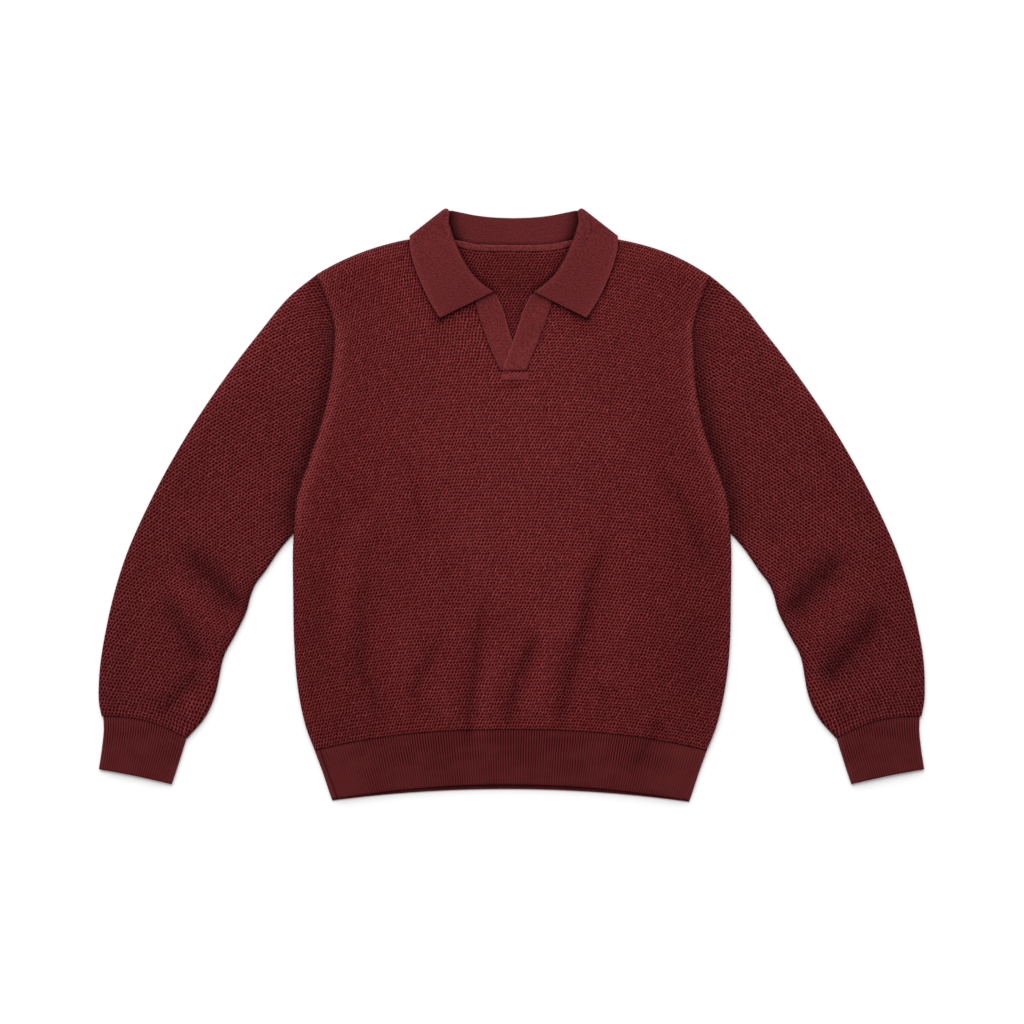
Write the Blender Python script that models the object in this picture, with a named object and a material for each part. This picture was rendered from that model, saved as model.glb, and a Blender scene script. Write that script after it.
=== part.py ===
"""A long-sleeved knitted polo sweater, laid flat with its front up.

The front faces +Z and the neck points to +Y. Left and right are the wearer's, so the left side
is at +X. The back panel rests on z = 0 and the front lies on it. The sizes and tables here are
in millimetres, and each mesh is scaled to metres as it is made.
"""
import math
from collections import namedtuple

import bmesh
import bpy
import numpy as np

MILLIMETRE = 0.001

# Cloth. Body and sleeves are a thick tuck knit, hem and cuffs a rib, the collar a fine knit.
WALL = 2.8
RIB_WALL = 2.3
RIB_RISE = 0.7
FINE_WALL = 1.8
SEAM = 0.3
EDGE_ROUND = 4.5
EDGE_THIN = 0.4

# How the layers lie: a small gap at the edges, a soft puff inside, both under 4 mm.
LAYER_GAP = 0.4
BODY_PUFF = 2.2
SLEEVE_PUFF = 2.0
COLLAR_LIFT = 3.0
COLLAR_SLACK = 0.7
LIFTED_FLATTER = 0.75
LEAF_GAP = 0.5

# Overall plan.
NECK_SHIFT = 2.5
NECK_SHIFT_HALF = 240.0
HEM_SEAM_Y = -272.3
HEM_SEAM_DROP = 25.5
SIDE_SEAM_Y = -297.8
HEM_BOW = 2.4
HEM_TOP_HALF = 238.3
HEM_FOOT_HALF = 217.0
HEM_FRONT_Y = -338.9
HEM_FRONT_DROP = 18.5
HEM_BACK_Y = -345.0
HEM_BACK_DROP = 14.8
UNDERARM_Y = -34.0
SHOULDER_TIP_Y = 279.6
NECK_POINT_Y = 325.0
NECK_POINT_X = 87.0
BACK_NECK_Y = 306.9
BACK_NECK_BOW = 4.5
NOTCH_Y = 162.0
NOTCH_SIDE_Y = 135.5
SHOULDER_BOW = 2.05

CUFF_SEAM_BOW = 8.0
CUFF_FOOT_BOW = 1.0
CUFF_BOW_REACH = 8.0
ARMHOLE_FADE = 2.2
ARMHOLE_GAP = 0.35
ARMHOLE_BEVEL = 0.022
SLEEVE_EVEN_FROM = 0.12

# Ribs, and how finely the walls are divided.
HEM_RIBS = 138
CUFF_RIBS = 30
RIB_FADE = 0.5
CUFF_PUFF = 1.0
HEM_PUFF = 1.2
HEM_FOLD_SHARE = 0.5
HEM_STEPS = 41
HEM_BACK_STEPS = 16
EDGE_CUT = 1.3
FIRST_ROW = 0.045
LAST_ROW = 0.93
LAST_COLUMN_GAP = 0.035
FRONT_COLUMNS = 20
LOW_ROWS = 12
YOKE_ROWS = 8
SLEEVE_STEPS = 9
CUFF_STEPS = 6
BACK_COLUMNS = 7
BACK_LOW_ROWS = 6
BACK_YOKE_ROWS = 10
NECK_FILL = [0.0, 0.3, 0.55, 0.75, 0.9]

# Collar wrap round the shoulder, neck tape, placket strips and the bar below them.
WRAP_ANGLE = math.radians(37.5)
WRAP_INSET = 5.9
BEND_INSET = 2.5
CORE_RISE = 0.1
TAPE_WALL = 2.4
TAPE_LOW_GAP = 0.4
TAPE_TOP_GAP = 0.6
STRIP_GAP = 0.36
STRIP_FOOT_Y = 162.4
STRIP_CLEAR_Y = 240.0
STRIP_CLEAR_RUN = 34.0
BAR_TOP_Y = 159.2
BAR_HEIGHT = 8.5
BAR_LEFT = -14.0
BAR_RIGHT = 20.0
BAR_WALL = 1.2

Ramp = namedtuple("Ramp", "start run")
Half = namedtuple("Half", "y x")
Plan = namedtuple("Plan", "x y")
Fold = namedtuple("Fold", "x0 y0 x1 y1 x2 y2 width height")
CollarRow = namedtuple("CollarRow", "seam_x seam_y roll_x roll_y edge_x edge_y")
PanelRow = namedtuple("PanelRow", "centre_y side_y share")
SleeveRow = namedtuple("SleeveRow", "t risen opened")
Section = namedtuple("Section", "t plan_at plan_in width risen face_at rib_at")

# Where things rise from nothing to full: a distance at which each starts, and its run.
BACK_LIFT_RISE = Ramp(-34.0, 30.0)
FRONT_LIFT_RISE = Ramp(-46.0, 42.0)
NECK_SHIFT_RISE = Ramp(40.0, 120.0)
SIDE_PUFF_RISE = Ramp(-4.0, 34.0)
SHOULDER_PUFF_RISE = Ramp(-2.0, 26.0)
SEAM_PUFF_RISE = Ramp(-6.0, 30.0)
SLEEVE_PUFF_RISE = Ramp(-2.0, 30.0)
CUFF_PUFF_RISE = Ramp(-2.0, 25.0)
HEM_PUFF_RISE = Ramp(0.0, 30.0)
FOLD_START_RISE = Ramp(-0.08, 0.33)
FOLD_END_RISE = Ramp(-0.06, 0.2)

# Half width of the body from the hem seam, up the side and round the armhole to the shoulder.
BODY_SIDE = [Half(-297.8, 238.3), Half(-271.1, 248.6), Half(-241.9, 255.9), Half(-212.7, 260.7),
             Half(-169.0, 264.4), Half(-115.5, 265.6), Half(-34.0, 265.1), Half(10.9, 260.5),
             Half(43.8, 249.8), Half(88.7, 234.1), Half(135.5, 222.6), Half(188.4, 215.8),
             Half(211.5, 214.9), Half(240.7, 221.5), Half(258.9, 228.4), Half(279.6, 237.2)]

# The V of the placket: the outer and the inner edge of a facing strip, from the neck's centre.
STRIP_OUTER = [Half(162.0, 15.7), Half(192.4, 28.7), Half(214.7, 37.2), Half(237.7, 44.9),
               Half(263.0, 51.2)]
STRIP_INNER = [Half(163.0, -12.5), Half(181.0, -6.3), Half(198.0, 0.0), Half(214.7, 5.6),
               Half(236.8, 12.4), Half(254.5, 20.8)]
FRONT_NECK = [Half(276.0, 60.0), Half(294.0, 76.0), Half(311.0, 85.0), Half(325.0, 87.0)]

# Sleeve edges from armhole to cuff seam, and the cuff's edges below it.
SLEEVE_OUTER = [Plan(237.2, 279.6), Plan(269.3, 254.1), Plan(306.3, 210.3), Plan(350.7, 151.9),
                Plan(398.7, 79.0), Plan(438.8, 6.1), Plan(471.0, -66.9), Plan(491.1, -139.8),
                Plan(501.4, -212.7), Plan(500.8, -241.9), Plan(497.8, -256.5)]
SLEEVE_INNER = [Plan(265.1, -34.0), Plan(280.8, -52.3), Plan(300.9, -81.4), Plan(311.8, -96.0),
                Plan(317.9, -110.6), Plan(321.5, -125.2), Plan(334.9, -154.4), Plan(350.1, -183.6),
                Plan(356.2, -212.7), Plan(359.2, -227.3), Plan(371.4, -256.5), Plan(393.9, -283.2)]
CUFF_OUTER = [Plan(496.0, -257.2), Plan(495.2, -269.9), Plan(497.4, -295.0), Plan(501.3, -320.9)]
CUFF_INNER = [Plan(395.0, -284.0), Plan(399.3, -297.8), Plan(405.8, -318.5), Plan(412.7, -339.1)]

# Sections along a sleeve, with how far its faces have risen and how far it has puffed up.
SLEEVE_ROWS = [SleeveRow(0.0, 0.40, 0.0), SleeveRow(0.004, 0.72, 0.02), SleeveRow(0.014, 1.0, 0.1),
               SleeveRow(0.05, 1.0, 0.5), SleeveRow(0.10, 1.0, 0.85), SleeveRow(0.17, 1.0, 1.0),
               SleeveRow(0.25, 1.0, 1.0), SleeveRow(0.33, 1.0, 1.0), SleeveRow(0.41, 1.0, 1.0),
               SleeveRow(0.49, 1.0, 1.0), SleeveRow(0.57, 1.0, 1.0), SleeveRow(0.65, 1.0, 1.0),
               SleeveRow(0.73, 1.0, 1.0), SleeveRow(0.81, 1.0, 1.0), SleeveRow(0.89, 1.0, 0.9),
               SleeveRow(0.955, 1.0, 0.6), SleeveRow(0.99, 1.0, 0.3), SleeveRow(1.0, 0.7, 0.2)]

# Collar sections from the front end up to the shoulder, then round the back to the centre:
# the seam to the neck, the visible roll line and the leaf's edge.
COLLAR_FRONT = [CollarRow(30.5, 258.2, 24.3, 258.2, 88.7, 226.6),
                CollarRow(44.0, 263.4, 38.5, 268.4, 93.6, 233.6),
                CollarRow(58.0, 276.6, 49.7, 279.6, 100.6, 245.0),
                CollarRow(74.6, 294.6, 59.1, 293.6, 110.1, 263.8),
                CollarRow(83.4, 311.0, 67.3, 310.3, 119.5, 287.0),
                CollarRow(85.0, 318.0, 72.9, 324.2, 125.4, 309.0),
                CollarRow(84.6, 323.0, 78.6, 342.0, 126.9, 319.0)]
COLLAR_BACK = [CollarRow(78.0, 323.2, 72.5, 356.2, 113.0, 305.0),
               CollarRow(65.0, 320.6, 61.0, 354.2, 94.0, 296.5),
               CollarRow(45.0, 316.4, 45.1, 351.7, 66.0, 291.5),
               CollarRow(24.0, 315.6, 24.0, 349.4, 34.0, 289.5),
               CollarRow(0.0, 315.5, 0.0, 348.5, 0.0, 289.0)]
COLLAR_WRAP = CollarRow(83.2, 325.0, 82.3, 360.1, 127.2, 325.8)
LEAF_BACK_EDGE = [Plan(0.0, 289.0), Plan(50.0, 290.0), Plan(85.0, 294.0), Plan(110.0, 303.0),
                  Plan(127.0, 325.8), Plan(160.0, 355.5), Plan(600.0, 751.0)]

# Soft folds: a trough has a height below zero and a crest above. Each runs through three points.
BODY_FOLDS = [
    Fold(122.2, 6.1, 95.4, -115.5, 56.5, -285.7, 11.0, -1.6),
    Fold(28.6, -154.4, 12.8, -218.8, -6.7, -277.2, 11.0, -1.5),
    Fold(-31.0, -105.8, -43.2, -194.5, -60.2, -282.0, 10.0, -1.4),
    Fold(-79.6, -121.6, -106.4, -194.5, -106.4, -263.8, 10.0, -1.0),
    Fold(-133.1, 72.9, -119.7, 6.1, -110.0, -48.6, 12.0, -0.5),
    Fold(-167.1, -66.9, -187.8, -164.1, -150.1, -291.7, 12.0, -0.9),
    Fold(170.8, 57.1, 204.8, -8.5, 231.6, -85.1, 13.0, -0.7),
    Fold(202.4, -246.8, 168.4, -283.2, 151.3, -324.6, 11.0, -0.9),
    Fold(118.5, -222.5, 119.0, -243.0, 119.7, -263.8, 9.0, -0.5),
    Fold(217.0, -67.0, 225.0, -164.0, 217.0, -237.0, 20.0, -0.7),
    Fold(-235.0, -48.6, -244.0, -164.0, -238.0, -250.0, 16.0, -0.7),
    Fold(-145.0, 30.4, -193.9, -66.9, -205.4, -188.4, 13.0, 0.8),
    Fold(174.4, 121.6, 178.0, 94.0, 183.0, 66.9, 12.0, 0.5),
    Fold(-10.3, -145.9, -22.1, -227.0, -40.7, -316.0, 10.0, 0.8),
    Fold(59.0, -115.5, 44.4, -212.7, 28.6, -279.6, 12.0, 0.7),
    Fold(-56.5, -103.0, -74.3, -202.7, -82.6, -279.6, 11.0, 0.6),
    Fold(-135.5, -115.5, -146.0, -200.0, -128.0, -268.0, 14.0, 0.6),
]
SLEEVE_FOLDS = [
    Fold(413.9, -52.3, 375.0, -88.7, 332.5, -130.0, 14.0, -1.6),
    Fold(447.9, -130.0, 409.0, -170.2, 368.9, -222.5, 13.0, -1.6),
    Fold(399.3, -237.0, 410.0, -254.0, 421.2, -271.0, 11.0, -0.8),
    Fold(447.9, -218.8, 447.0, -235.0, 446.7, -251.6, 10.0, -0.5),
    Fold(399.3, -100.0, 383.0, -134.0, 352.9, -164.0, 14.0, 0.9),
    Fold(385.0, -232.0, 389.0, -252.0, 396.0, -270.0, 9.0, 0.7),
    Fold(330.0, -67.0, 334.0, -85.0, 340.5, -103.0, 12.0, 0.6),
    Fold(-403.0, -48.6, -368.9, -87.5, -322.8, -127.6, 13.0, -1.5),
    Fold(-433.4, -103.3, -395.7, -164.1, -361.6, -212.7, 12.0, -1.3),
    Fold(-378.7, -194.5, -403.0, -224.9, -429.7, -256.5, 11.0, -1.0),
    Fold(-390.8, -103.0, -372.0, -132.0, -351.9, -164.0, 12.0, 0.8),
    Fold(-335.0, -60.0, -338.0, -80.0, -342.0, -97.0, 12.0, 0.6),
    Fold(-373.0, -225.0, -384.0, -242.0, -396.8, -258.0, 10.0, 0.8),
]

KNIT_COLOUR = (0.098, 0.0130, 0.0137, 1.0)
RIB_COLOUR = (0.084, 0.0116, 0.0123, 1.0)
FINE_COLOUR = (0.114, 0.0185, 0.0194, 1.0)
KNIT_ROUGHNESS = 0.95


# Curves and heights

def spline(keys, values):
    """A smooth function through values given at rising keys."""
    keys = np.array(keys, float)
    values = np.array(values, float)
    slopes = np.gradient(values, keys, axis=0)

    def at(key):
        key = np.clip(np.asarray(key, float), keys[0], keys[-1])
        i = np.clip(np.searchsorted(keys, key, side="right") - 1, 0, len(keys) - 2)
        step = keys[i + 1] - keys[i]
        f = (key - keys[i]) / step
        if values.ndim > 1:
            f = f[..., None]
            step = step[..., None]
        start = (2 * f ** 3 - 3 * f ** 2 + 1) * values[i] + (f ** 3 - 2 * f ** 2 + f) * step * slopes[i]
        end = (3 * f ** 2 - 2 * f ** 3) * values[i + 1] + (f ** 3 - f ** 2) * step * slopes[i + 1]
        return start + end

    return at


def half_widths(table):
    """The half width at a height, from a table of Half rows."""
    return spline([row.y for row in table], [row.x for row in table])


def plan_curve(points):
    """A plan curve through points, by the share of its length from 0 to 1."""
    points = np.array(points, float)
    steps = np.hypot(*np.diff(points, axis=0).T)
    shares = np.concatenate(([0.0], np.cumsum(steps))) / steps.sum()
    return spline(shares, points)


def ease(t):
    """A soft step from 0 to 1."""
    t = np.clip(t, 0.0, 1.0)
    return t * t * (3.0 - 2.0 * t)


def rise(distance, ramp):
    """How far something has risen, from 0 to 1, at a distance along its ramp."""
    return ease((distance - ramp.start) / ramp.run)


def rounding(distance):
    """How far a wall has reached its full height at a distance from its rounded edge."""
    t = 1.0 - np.clip(np.asarray(distance, float) / EDGE_ROUND, 0.0, 1.0)
    return np.sqrt(1.0 - t * t)


def thinned(rounded):
    """The share of a wall's thickness that is left where its edge has rounded so far."""
    return EDGE_THIN + (1.0 - EDGE_THIN) * rounded


side_x = half_widths(BODY_SIDE)
strip_inner_x = half_widths(STRIP_INNER)
notch_x = half_widths([Half(row.y, row.x + SEAM) for row in STRIP_OUTER] + FRONT_NECK)
sleeve_outer = plan_curve(SLEEVE_OUTER)
sleeve_inner = plan_curve(SLEEVE_INNER)
cuff_outer = plan_curve(CUFF_OUTER)
cuff_inner = plan_curve(CUFF_INNER)


def shoulder_y(x):
    """The height of the shoulder seam, level inside the neck point."""
    reach = float(side_x(SHOULDER_TIP_Y)) - NECK_POINT_X
    share = np.clip((np.abs(x) - NECK_POINT_X) / reach, 0.0, 1.0)
    return NECK_POINT_Y + (SHOULDER_TIP_Y - NECK_POINT_Y) * share ** SHOULDER_BOW


def hem_seam_y(x):
    """The height of the seam between body and hem."""
    return HEM_SEAM_Y - HEM_SEAM_DROP * np.clip(np.abs(x) / HEM_TOP_HALF, 0.0, 1.0) ** HEM_BOW


def back_neck_y(x):
    """The back panel's neck edge."""
    share = np.clip(np.abs(x) / NECK_POINT_X, 0.0, 1.0)
    return BACK_NECK_Y + (NECK_POINT_Y - BACK_NECK_Y) * share ** BACK_NECK_BOW


def relief(x, y, folds):
    """The height that the folds add at plan points."""
    total = np.zeros(np.shape(x))
    for fold in folds:
        pieces = ((fold.x0, fold.y0, fold.x1, fold.y1, 0.0), (fold.x1, fold.y1, fold.x2, fold.y2, 1.0))
        best = np.full(np.shape(x), np.inf)
        along = np.zeros(np.shape(x))
        for x0, y0, x1, y1, start in pieces:
            dx, dy = x1 - x0, y1 - y0
            share = np.clip(((x - x0) * dx + (y - y0) * dy) / (dx * dx + dy * dy), 0.0, 1.0)
            distance = np.hypot(x - x0 - share * dx, y - y0 - share * dy)
            along = np.where(distance < best, (start + share) / 2, along)
            best = np.minimum(best, distance)
        fade = rise(along, FOLD_START_RISE) * rise(1.0 - along, FOLD_END_RISE)
        total = total + fold.height * fade * np.exp(-(best / fold.width) ** 2)
    return total


def leaf_clearance(x, y):
    """How far a point lies above the hidden edge of the collar's back leaf, in plan."""
    edge = np.interp(np.abs(x), [p.x for p in LEAF_BACK_EDGE], [p.y for p in LEAF_BACK_EDGE])
    return y - edge


def back_lift(x, y):
    """How far the back panel is lifted where it lies on the collar's back leaf."""
    return COLLAR_LIFT * rise(leaf_clearance(x, y), BACK_LIFT_RISE)


def front_in(x, y):
    """The underside of the front panel."""
    lifted = rise(leaf_clearance(x, y), FRONT_LIFT_RISE)
    inside = rise(side_x(y) - np.abs(x), SIDE_PUFF_RISE) * rise(shoulder_y(x) - y, SHOULDER_PUFF_RISE)
    inside = inside * rise(y - hem_seam_y(x), SEAM_PUFF_RISE)
    inside = inside * (1.0 - LIFTED_FLATTER * lifted)
    puff = np.maximum((BODY_PUFF + relief(x, y, BODY_FOLDS)) * inside, 0.0)
    return WALL + LAYER_GAP + puff + (COLLAR_LIFT + COLLAR_SLACK) * lifted


def front_out(x, y):
    """The face of the front panel, away from its edges."""
    return front_in(x, y) + WALL


# Meshes

def material(name, colour):
    """A matt knit material."""
    made = bpy.data.materials.new(name)
    made.use_nodes = True
    shader = made.node_tree.nodes["Principled BSDF"]
    shader.inputs["Base Color"].default_value = colour
    shader.inputs["Roughness"].default_value = KNIT_ROUGHNESS
    shader.inputs["Metallic"].default_value = 0.0
    return made


def placed(points):
    """Points in metres, with the neck moved a little to the left as it lies."""
    points = np.array(points, float)
    inside = np.clip(1.0 - np.abs(points[:, 0]) / NECK_SHIFT_HALF, 0.0, 1.0)
    points[:, 0] += NECK_SHIFT * inside * rise(points[:, 1], NECK_SHIFT_RISE)
    return points * MILLIMETRE


def add_piece(name, points, faces, colour):
    """One sub-part, as a closed mesh with its faces outwards, in the garment's collection."""
    mesh = bpy.data.meshes.new(name)
    mesh.from_pydata([tuple(p) for p in placed(points)], [], faces)
    mesh.materials.append(material(name, colour))
    mesh.validate()
    work = bmesh.new()
    work.from_mesh(mesh)
    bmesh.ops.recalc_face_normals(work, faces=work.faces)
    work.to_mesh(mesh)
    work.free()
    mesh.shade_smooth()
    mesh.set_sharp_from_angle(angle=math.radians(50.0))
    piece = bpy.data.objects.new(name, mesh)
    garment.objects.link(piece)
    return piece


def grid_wall(outer, inner, closed, anchors=None):
    """Points and faces of a wall between two grids of points.

    The rows of both run the same way. A row of the inner grid may hold fewer points: anchors
    names the outer point that each lies beside, or they are spread evenly. Closed rows are
    loops, and the wall is then a tube.
    """
    outer = np.array(outer, float)
    inner = np.array(inner, float)
    rows, columns = outer.shape[:2]
    in_rows, in_columns = inner.shape[:2]
    base = rows * columns
    points = np.concatenate((outer.reshape(-1, 3), inner.reshape(-1, 3)))
    last = columns if closed else columns - 1
    in_last = in_columns if closed else in_columns - 1
    if anchors is None:
        anchors = [round(k * last / in_last) for k in range(in_last + 1)]
    faces = []
    for i in range(rows - 1):
        for j in range(last):
            k = (j + 1) % columns
            faces.append((i * columns + j, i * columns + k, (i + 1) * columns + k, (i + 1) * columns + j))
    for i in range(in_rows - 1):
        for j in range(in_last):
            k = (j + 1) % in_columns
            low = base + i * in_columns
            faces.append((low + j, low + in_columns + j, low + in_columns + k, low + k))
    for row, in_row in ((0, 0), (rows - 1, in_rows - 1)):
        for j in range(in_last):
            k = (j + 1) % in_columns
            run = [row * columns + m % columns for m in range(anchors[j], anchors[j + 1] + 1)]
            faces.append(tuple(run) + (base + in_row * in_columns + k, base + in_row * in_columns + j))
    if not closed:
        spans = [(i, i + 1, i, i + 1) for i in range(rows - 1)]
        if rows != in_rows:
            spans = [(0, rows - 1, 0, in_rows - 1)]
        for column, in_column in ((0, 0), (columns - 1, in_columns - 1)):
            for first, final, in_first, in_final in spans:
                run = [i * columns + column for i in range(first, final + 1)]
                back = [base + i * in_columns + in_column for i in range(in_final, in_first - 1, -1)]
                faces.append(tuple(run + back))
    return points, faces


def plan_wall(cells, plan, low, high):
    """Points and faces of a flat panel: cells of plan points, each with a low and a high face."""
    count = len(plan)
    points = [(x, y, z) for (x, y), z in zip(plan, low)] + [(x, y, z) for (x, y), z in zip(plan, high)]
    faces = [tuple(reversed(cell)) for cell in cells]
    faces += [tuple(count + k for k in cell) for cell in cells]
    edges = {}
    for cell in cells:
        for a, b in zip(cell, cell[1:] + cell[:1]):
            key = (min(a, b), max(a, b))
            edges[key] = None if key in edges else (a, b)
    for edge in edges.values():
        if edge:
            a, b = edge
            faces.append((a, b, count + b, count + a))
    return points, faces


# Body panels

def body_rows(low_shares, high_shares):
    """Rows of a panel: its height at the centre and at the side, and the share of its part.

    The share runs from -1 at the hem to 0 at the notch, and on to 1 at the shoulder.
    """
    rows = []
    for share in low_shares:
        rows.append(PanelRow(HEM_SEAM_Y + share * (NOTCH_Y - HEM_SEAM_Y),
                             SIDE_SEAM_Y + share * (NOTCH_SIDE_Y - SIDE_SEAM_Y), share - 1.0))
    for share in high_shares:
        rows.append(PanelRow(NOTCH_Y + share * (NECK_POINT_Y - NOTCH_Y),
                             NOTCH_SIDE_Y + share * (SHOULDER_TIP_Y - NOTCH_SIDE_Y), share))
    return rows


def half_panel(rows, columns, fill):
    """Plan points of half a panel, row by row from the centre out.

    fill holds the shares of the way from the centre to the notch's edge that have a column, and
    columns is the number from there to the side.
    """
    grid = []
    for inner_y, outer_y, share in rows:
        outer_x = float(side_x(outer_y))
        inner_x = float(notch_x(max(inner_y, NOTCH_Y)))
        bow = HEM_BOW + (SHOULDER_BOW - HEM_BOW) * (share + 1.0) / 2.0
        near = [1.0 - d / (outer_x - inner_x) for d in (EDGE_ROUND, EDGE_CUT, 0.0)]
        shares = list(np.linspace(0.0, near[0] - LAST_COLUMN_GAP, columns)) + near
        line = []
        if share < 0.0:
            for t in fill:
                x = inner_x * t
                line.append((x, inner_y + (outer_y - inner_y) * (x / outer_x) ** bow))
            for s in shares:
                x = inner_x + (outer_x - inner_x) * s
                line.append((x, inner_y + (outer_y - inner_y) * (x / outer_x) ** bow))
        else:
            scale = (BACK_NECK_Y - NOTCH_Y) / (NECK_POINT_Y - NOTCH_Y)
            middle_y = NOTCH_Y + (inner_y - NOTCH_Y) * scale
            for t in fill:
                line.append((inner_x * t, middle_y + (inner_y - middle_y) * t ** BACK_NECK_BOW))
            for s in shares:
                line.append((inner_x + (outer_x - inner_x) * s, inner_y + (outer_y - inner_y) * s ** bow))
        grid.append(line)
    return grid


def panel(rows, columns, fill, open_notch):
    """Plan points, cells and edge rounding of a whole panel, from its left half mirrored."""
    half = half_panel(rows, columns, fill)
    width = len(half[0])
    notch_row = next(i for i, row in enumerate(rows) if row.share >= 0.0)
    plan = []
    index = {}
    rounds = []
    for i, line in enumerate(half):
        for side in (1, -1):
            for j, (x, y) in enumerate(line):
                if open_notch and i > notch_row and j < len(fill):
                    continue
                if side < 0 and j == 0:
                    index[i, j, side] = index.get((i, 0, 1))
                    continue
                index[i, j, side] = len(plan)
                plan.append((side * x, y))
                from_side = float(side_x(rows[i].side_y)) - x if j >= width - 3 else EDGE_ROUND
                from_top = float(np.hypot(line[j][0] - half[-1][j][0], half[-1][j][1] - y))
                rounds.append(float(min(rounding(from_side), rounding(from_top))))
    cells = []
    for i in range(len(rows) - 1):
        for j in range(width - 1):
            if open_notch and i >= notch_row and j < len(fill):
                continue
            for side in (1, -1):
                cell = [index[i, j, side], index[i, j + 1, side],
                        index[i + 1, j + 1, side], index[i + 1, j, side]]
                cells.append(tuple(cell if side > 0 else reversed(cell)))
    return np.array(plan), cells, np.array(rounds)


LOW_ENDS = [0.0, 0.008]
HIGH_ENDS = [0.972, 0.992, 1.0]
FRONT_ROWS = body_rows(LOW_ENDS + list(np.linspace(FIRST_ROW, 1.0, LOW_ROWS)),
                       list(np.linspace(0.0, LAST_ROW, YOKE_ROWS))[1:] + HIGH_ENDS)
BACK_ROWS = body_rows(LOW_ENDS + list(np.linspace(FIRST_ROW, 1.0, BACK_LOW_ROWS)),
                      list(np.linspace(0.0, LAST_ROW, BACK_YOKE_ROWS))[1:] + HIGH_ENDS)


def add_front():
    """The front panel, with the neck and the V of the placket cut out."""
    plan, cells, rounds = panel(FRONT_ROWS, FRONT_COLUMNS, [0.0], True)
    low = front_in(plan[:, 0], plan[:, 1])
    high = low + WALL * thinned(rounds)
    points, faces = plan_wall(cells, plan, low, high)
    add_piece("front", points, faces, KNIT_COLOUR)


def add_back():
    """The back panel. It rests on z = 0 and is lifted where the collar's back leaf lies under it."""
    plan, cells, rounds = panel(BACK_ROWS, BACK_COLUMNS, NECK_FILL, False)
    lift = back_lift(plan[:, 0], plan[:, 1])
    low = lift + WALL * (1.0 - thinned(rounds))
    points, faces = plan_wall(cells, plan, low, lift + WALL)
    add_piece("back", points, faces, KNIT_COLOUR)


# Sleeves and cuffs

def edge_shares(width, inside):
    """Shares of a width with close steps at both rounded edges and the given ones between."""
    cut = EDGE_CUT / width
    first = EDGE_ROUND / width
    return [0.0, cut] + [first + (1.0 - 2.0 * first) * share for share in inside] + [1.0 - cut, 1.0]


def flat_tube(sections, top, bottom, steps, wall):
    """Outer and inner loops of a flattened tube that rests on z = 0, and the inner loop's anchors.

    top and bottom give the shares of the width at which a section's upper and lower face have
    their points. The inner faces have a point beside every few of those, in the given steps.
    """
    middle = wall + LAYER_GAP / 2.0
    over = len(top(sections[0])) - 1
    under = len(bottom(sections[0])) - 1
    top_anchors = [round(k * over / steps) for k in range(steps + 1)]
    bottom_anchors = [round(k * under / steps) for k in range(steps + 1)]
    outer = []
    inner = []
    for section in sections:
        upper = []
        for share in top(section):
            x, y = section.plan_at(share)
            distance = min(share, 1.0 - share) * section.width
            reach = min(float(rounding(distance)), section.risen)
            height = section.face_at(x, y, distance) + section.rib_at(share)
            upper.append((x, y, middle + (height - middle) * reach))
        lower = []
        for share in bottom(section):
            x, y = section.plan_at(share)
            reach = min(float(rounding(min(share, 1.0 - share) * section.width)), section.risen)
            lower.append((x, y, middle * (1.0 - reach)))
        outer.append(upper + lower[-2:0:-1])
        edge = wall / section.width
        ceiling = []
        for anchor in top_anchors:
            share = min(max(top(section)[anchor], edge), 1.0 - edge)
            x, y = section.plan_in(share)
            height = section.face_at(x, y, min(share, 1.0 - share) * section.width) - wall
            ceiling.append((x, y, height if 0 < anchor < over else middle))
        floor = []
        for anchor in bottom_anchors[1:-1]:
            x, y = section.plan_in(bottom(section)[anchor])
            floor.append((x, y, wall))
        inner.append(ceiling + floor[::-1])
    return outer, inner, top_anchors[:-1] + [over + under - k for k in bottom_anchors[::-1]]


def across_plan(outer_at, inner_at, t, bow_height, hollow_at):
    """A plan curve across a sleeve or cuff, bowed up the arm, and the width that it spans."""
    start = np.array(outer_at(t))
    end = np.array(inner_at(t))
    width = float(np.hypot(*(end - start)))
    across = (end - start) / width
    up_arm = np.array((across[1], -across[0]))

    def at(share):
        bow = bow_height * math.sin(math.pi * share)
        return tuple(start + (end - start) * share + up_arm * bow + hollow_at(share))

    return at, width


def armhole_hollow(share):
    """How far the armhole's curve lies from the straight line between its ends."""
    y = SHOULDER_TIP_Y + (UNDERARM_Y - SHOULDER_TIP_Y) * share
    tip_x = float(side_x(SHOULDER_TIP_Y))
    low_x = float(side_x(UNDERARM_Y))
    return np.array((float(side_x(y)) + ARMHOLE_GAP - tip_x - (low_x - tip_x) * share, 0.0))


def sleeve_plan(t):
    """The plan curve across a sleeve at t of its length, and the width that it spans."""
    seat = (1.0 - t) ** ARMHOLE_FADE
    return across_plan(sleeve_outer, sleeve_inner, t, CUFF_SEAM_BOW * t ** CUFF_BOW_REACH,
                       lambda share: armhole_hollow(share) * seat)


def sleeve_section(t, risen, opened, side):
    """A section across a sleeve at t of its length from the armhole to the cuff.

    The inner faces start a little way down the arm, so that the wall's end is bevelled.
    """
    plan_at, width = sleeve_plan(t)
    plan_in = sleeve_plan(ARMHOLE_BEVEL + (1.0 - ARMHOLE_BEVEL) * t)[0]

    def face_at(x, y, distance):
        fold = float(relief(np.array(side * x), np.array(y), SLEEVE_FOLDS))
        puff = (SLEEVE_PUFF + fold) * float(rise(distance, SLEEVE_PUFF_RISE)) * opened
        return 2.0 * WALL + LAYER_GAP + max(puff, 0.0)

    return Section(t, plan_at, plan_in, width, risen, face_at, lambda share: 0.0)


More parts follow.
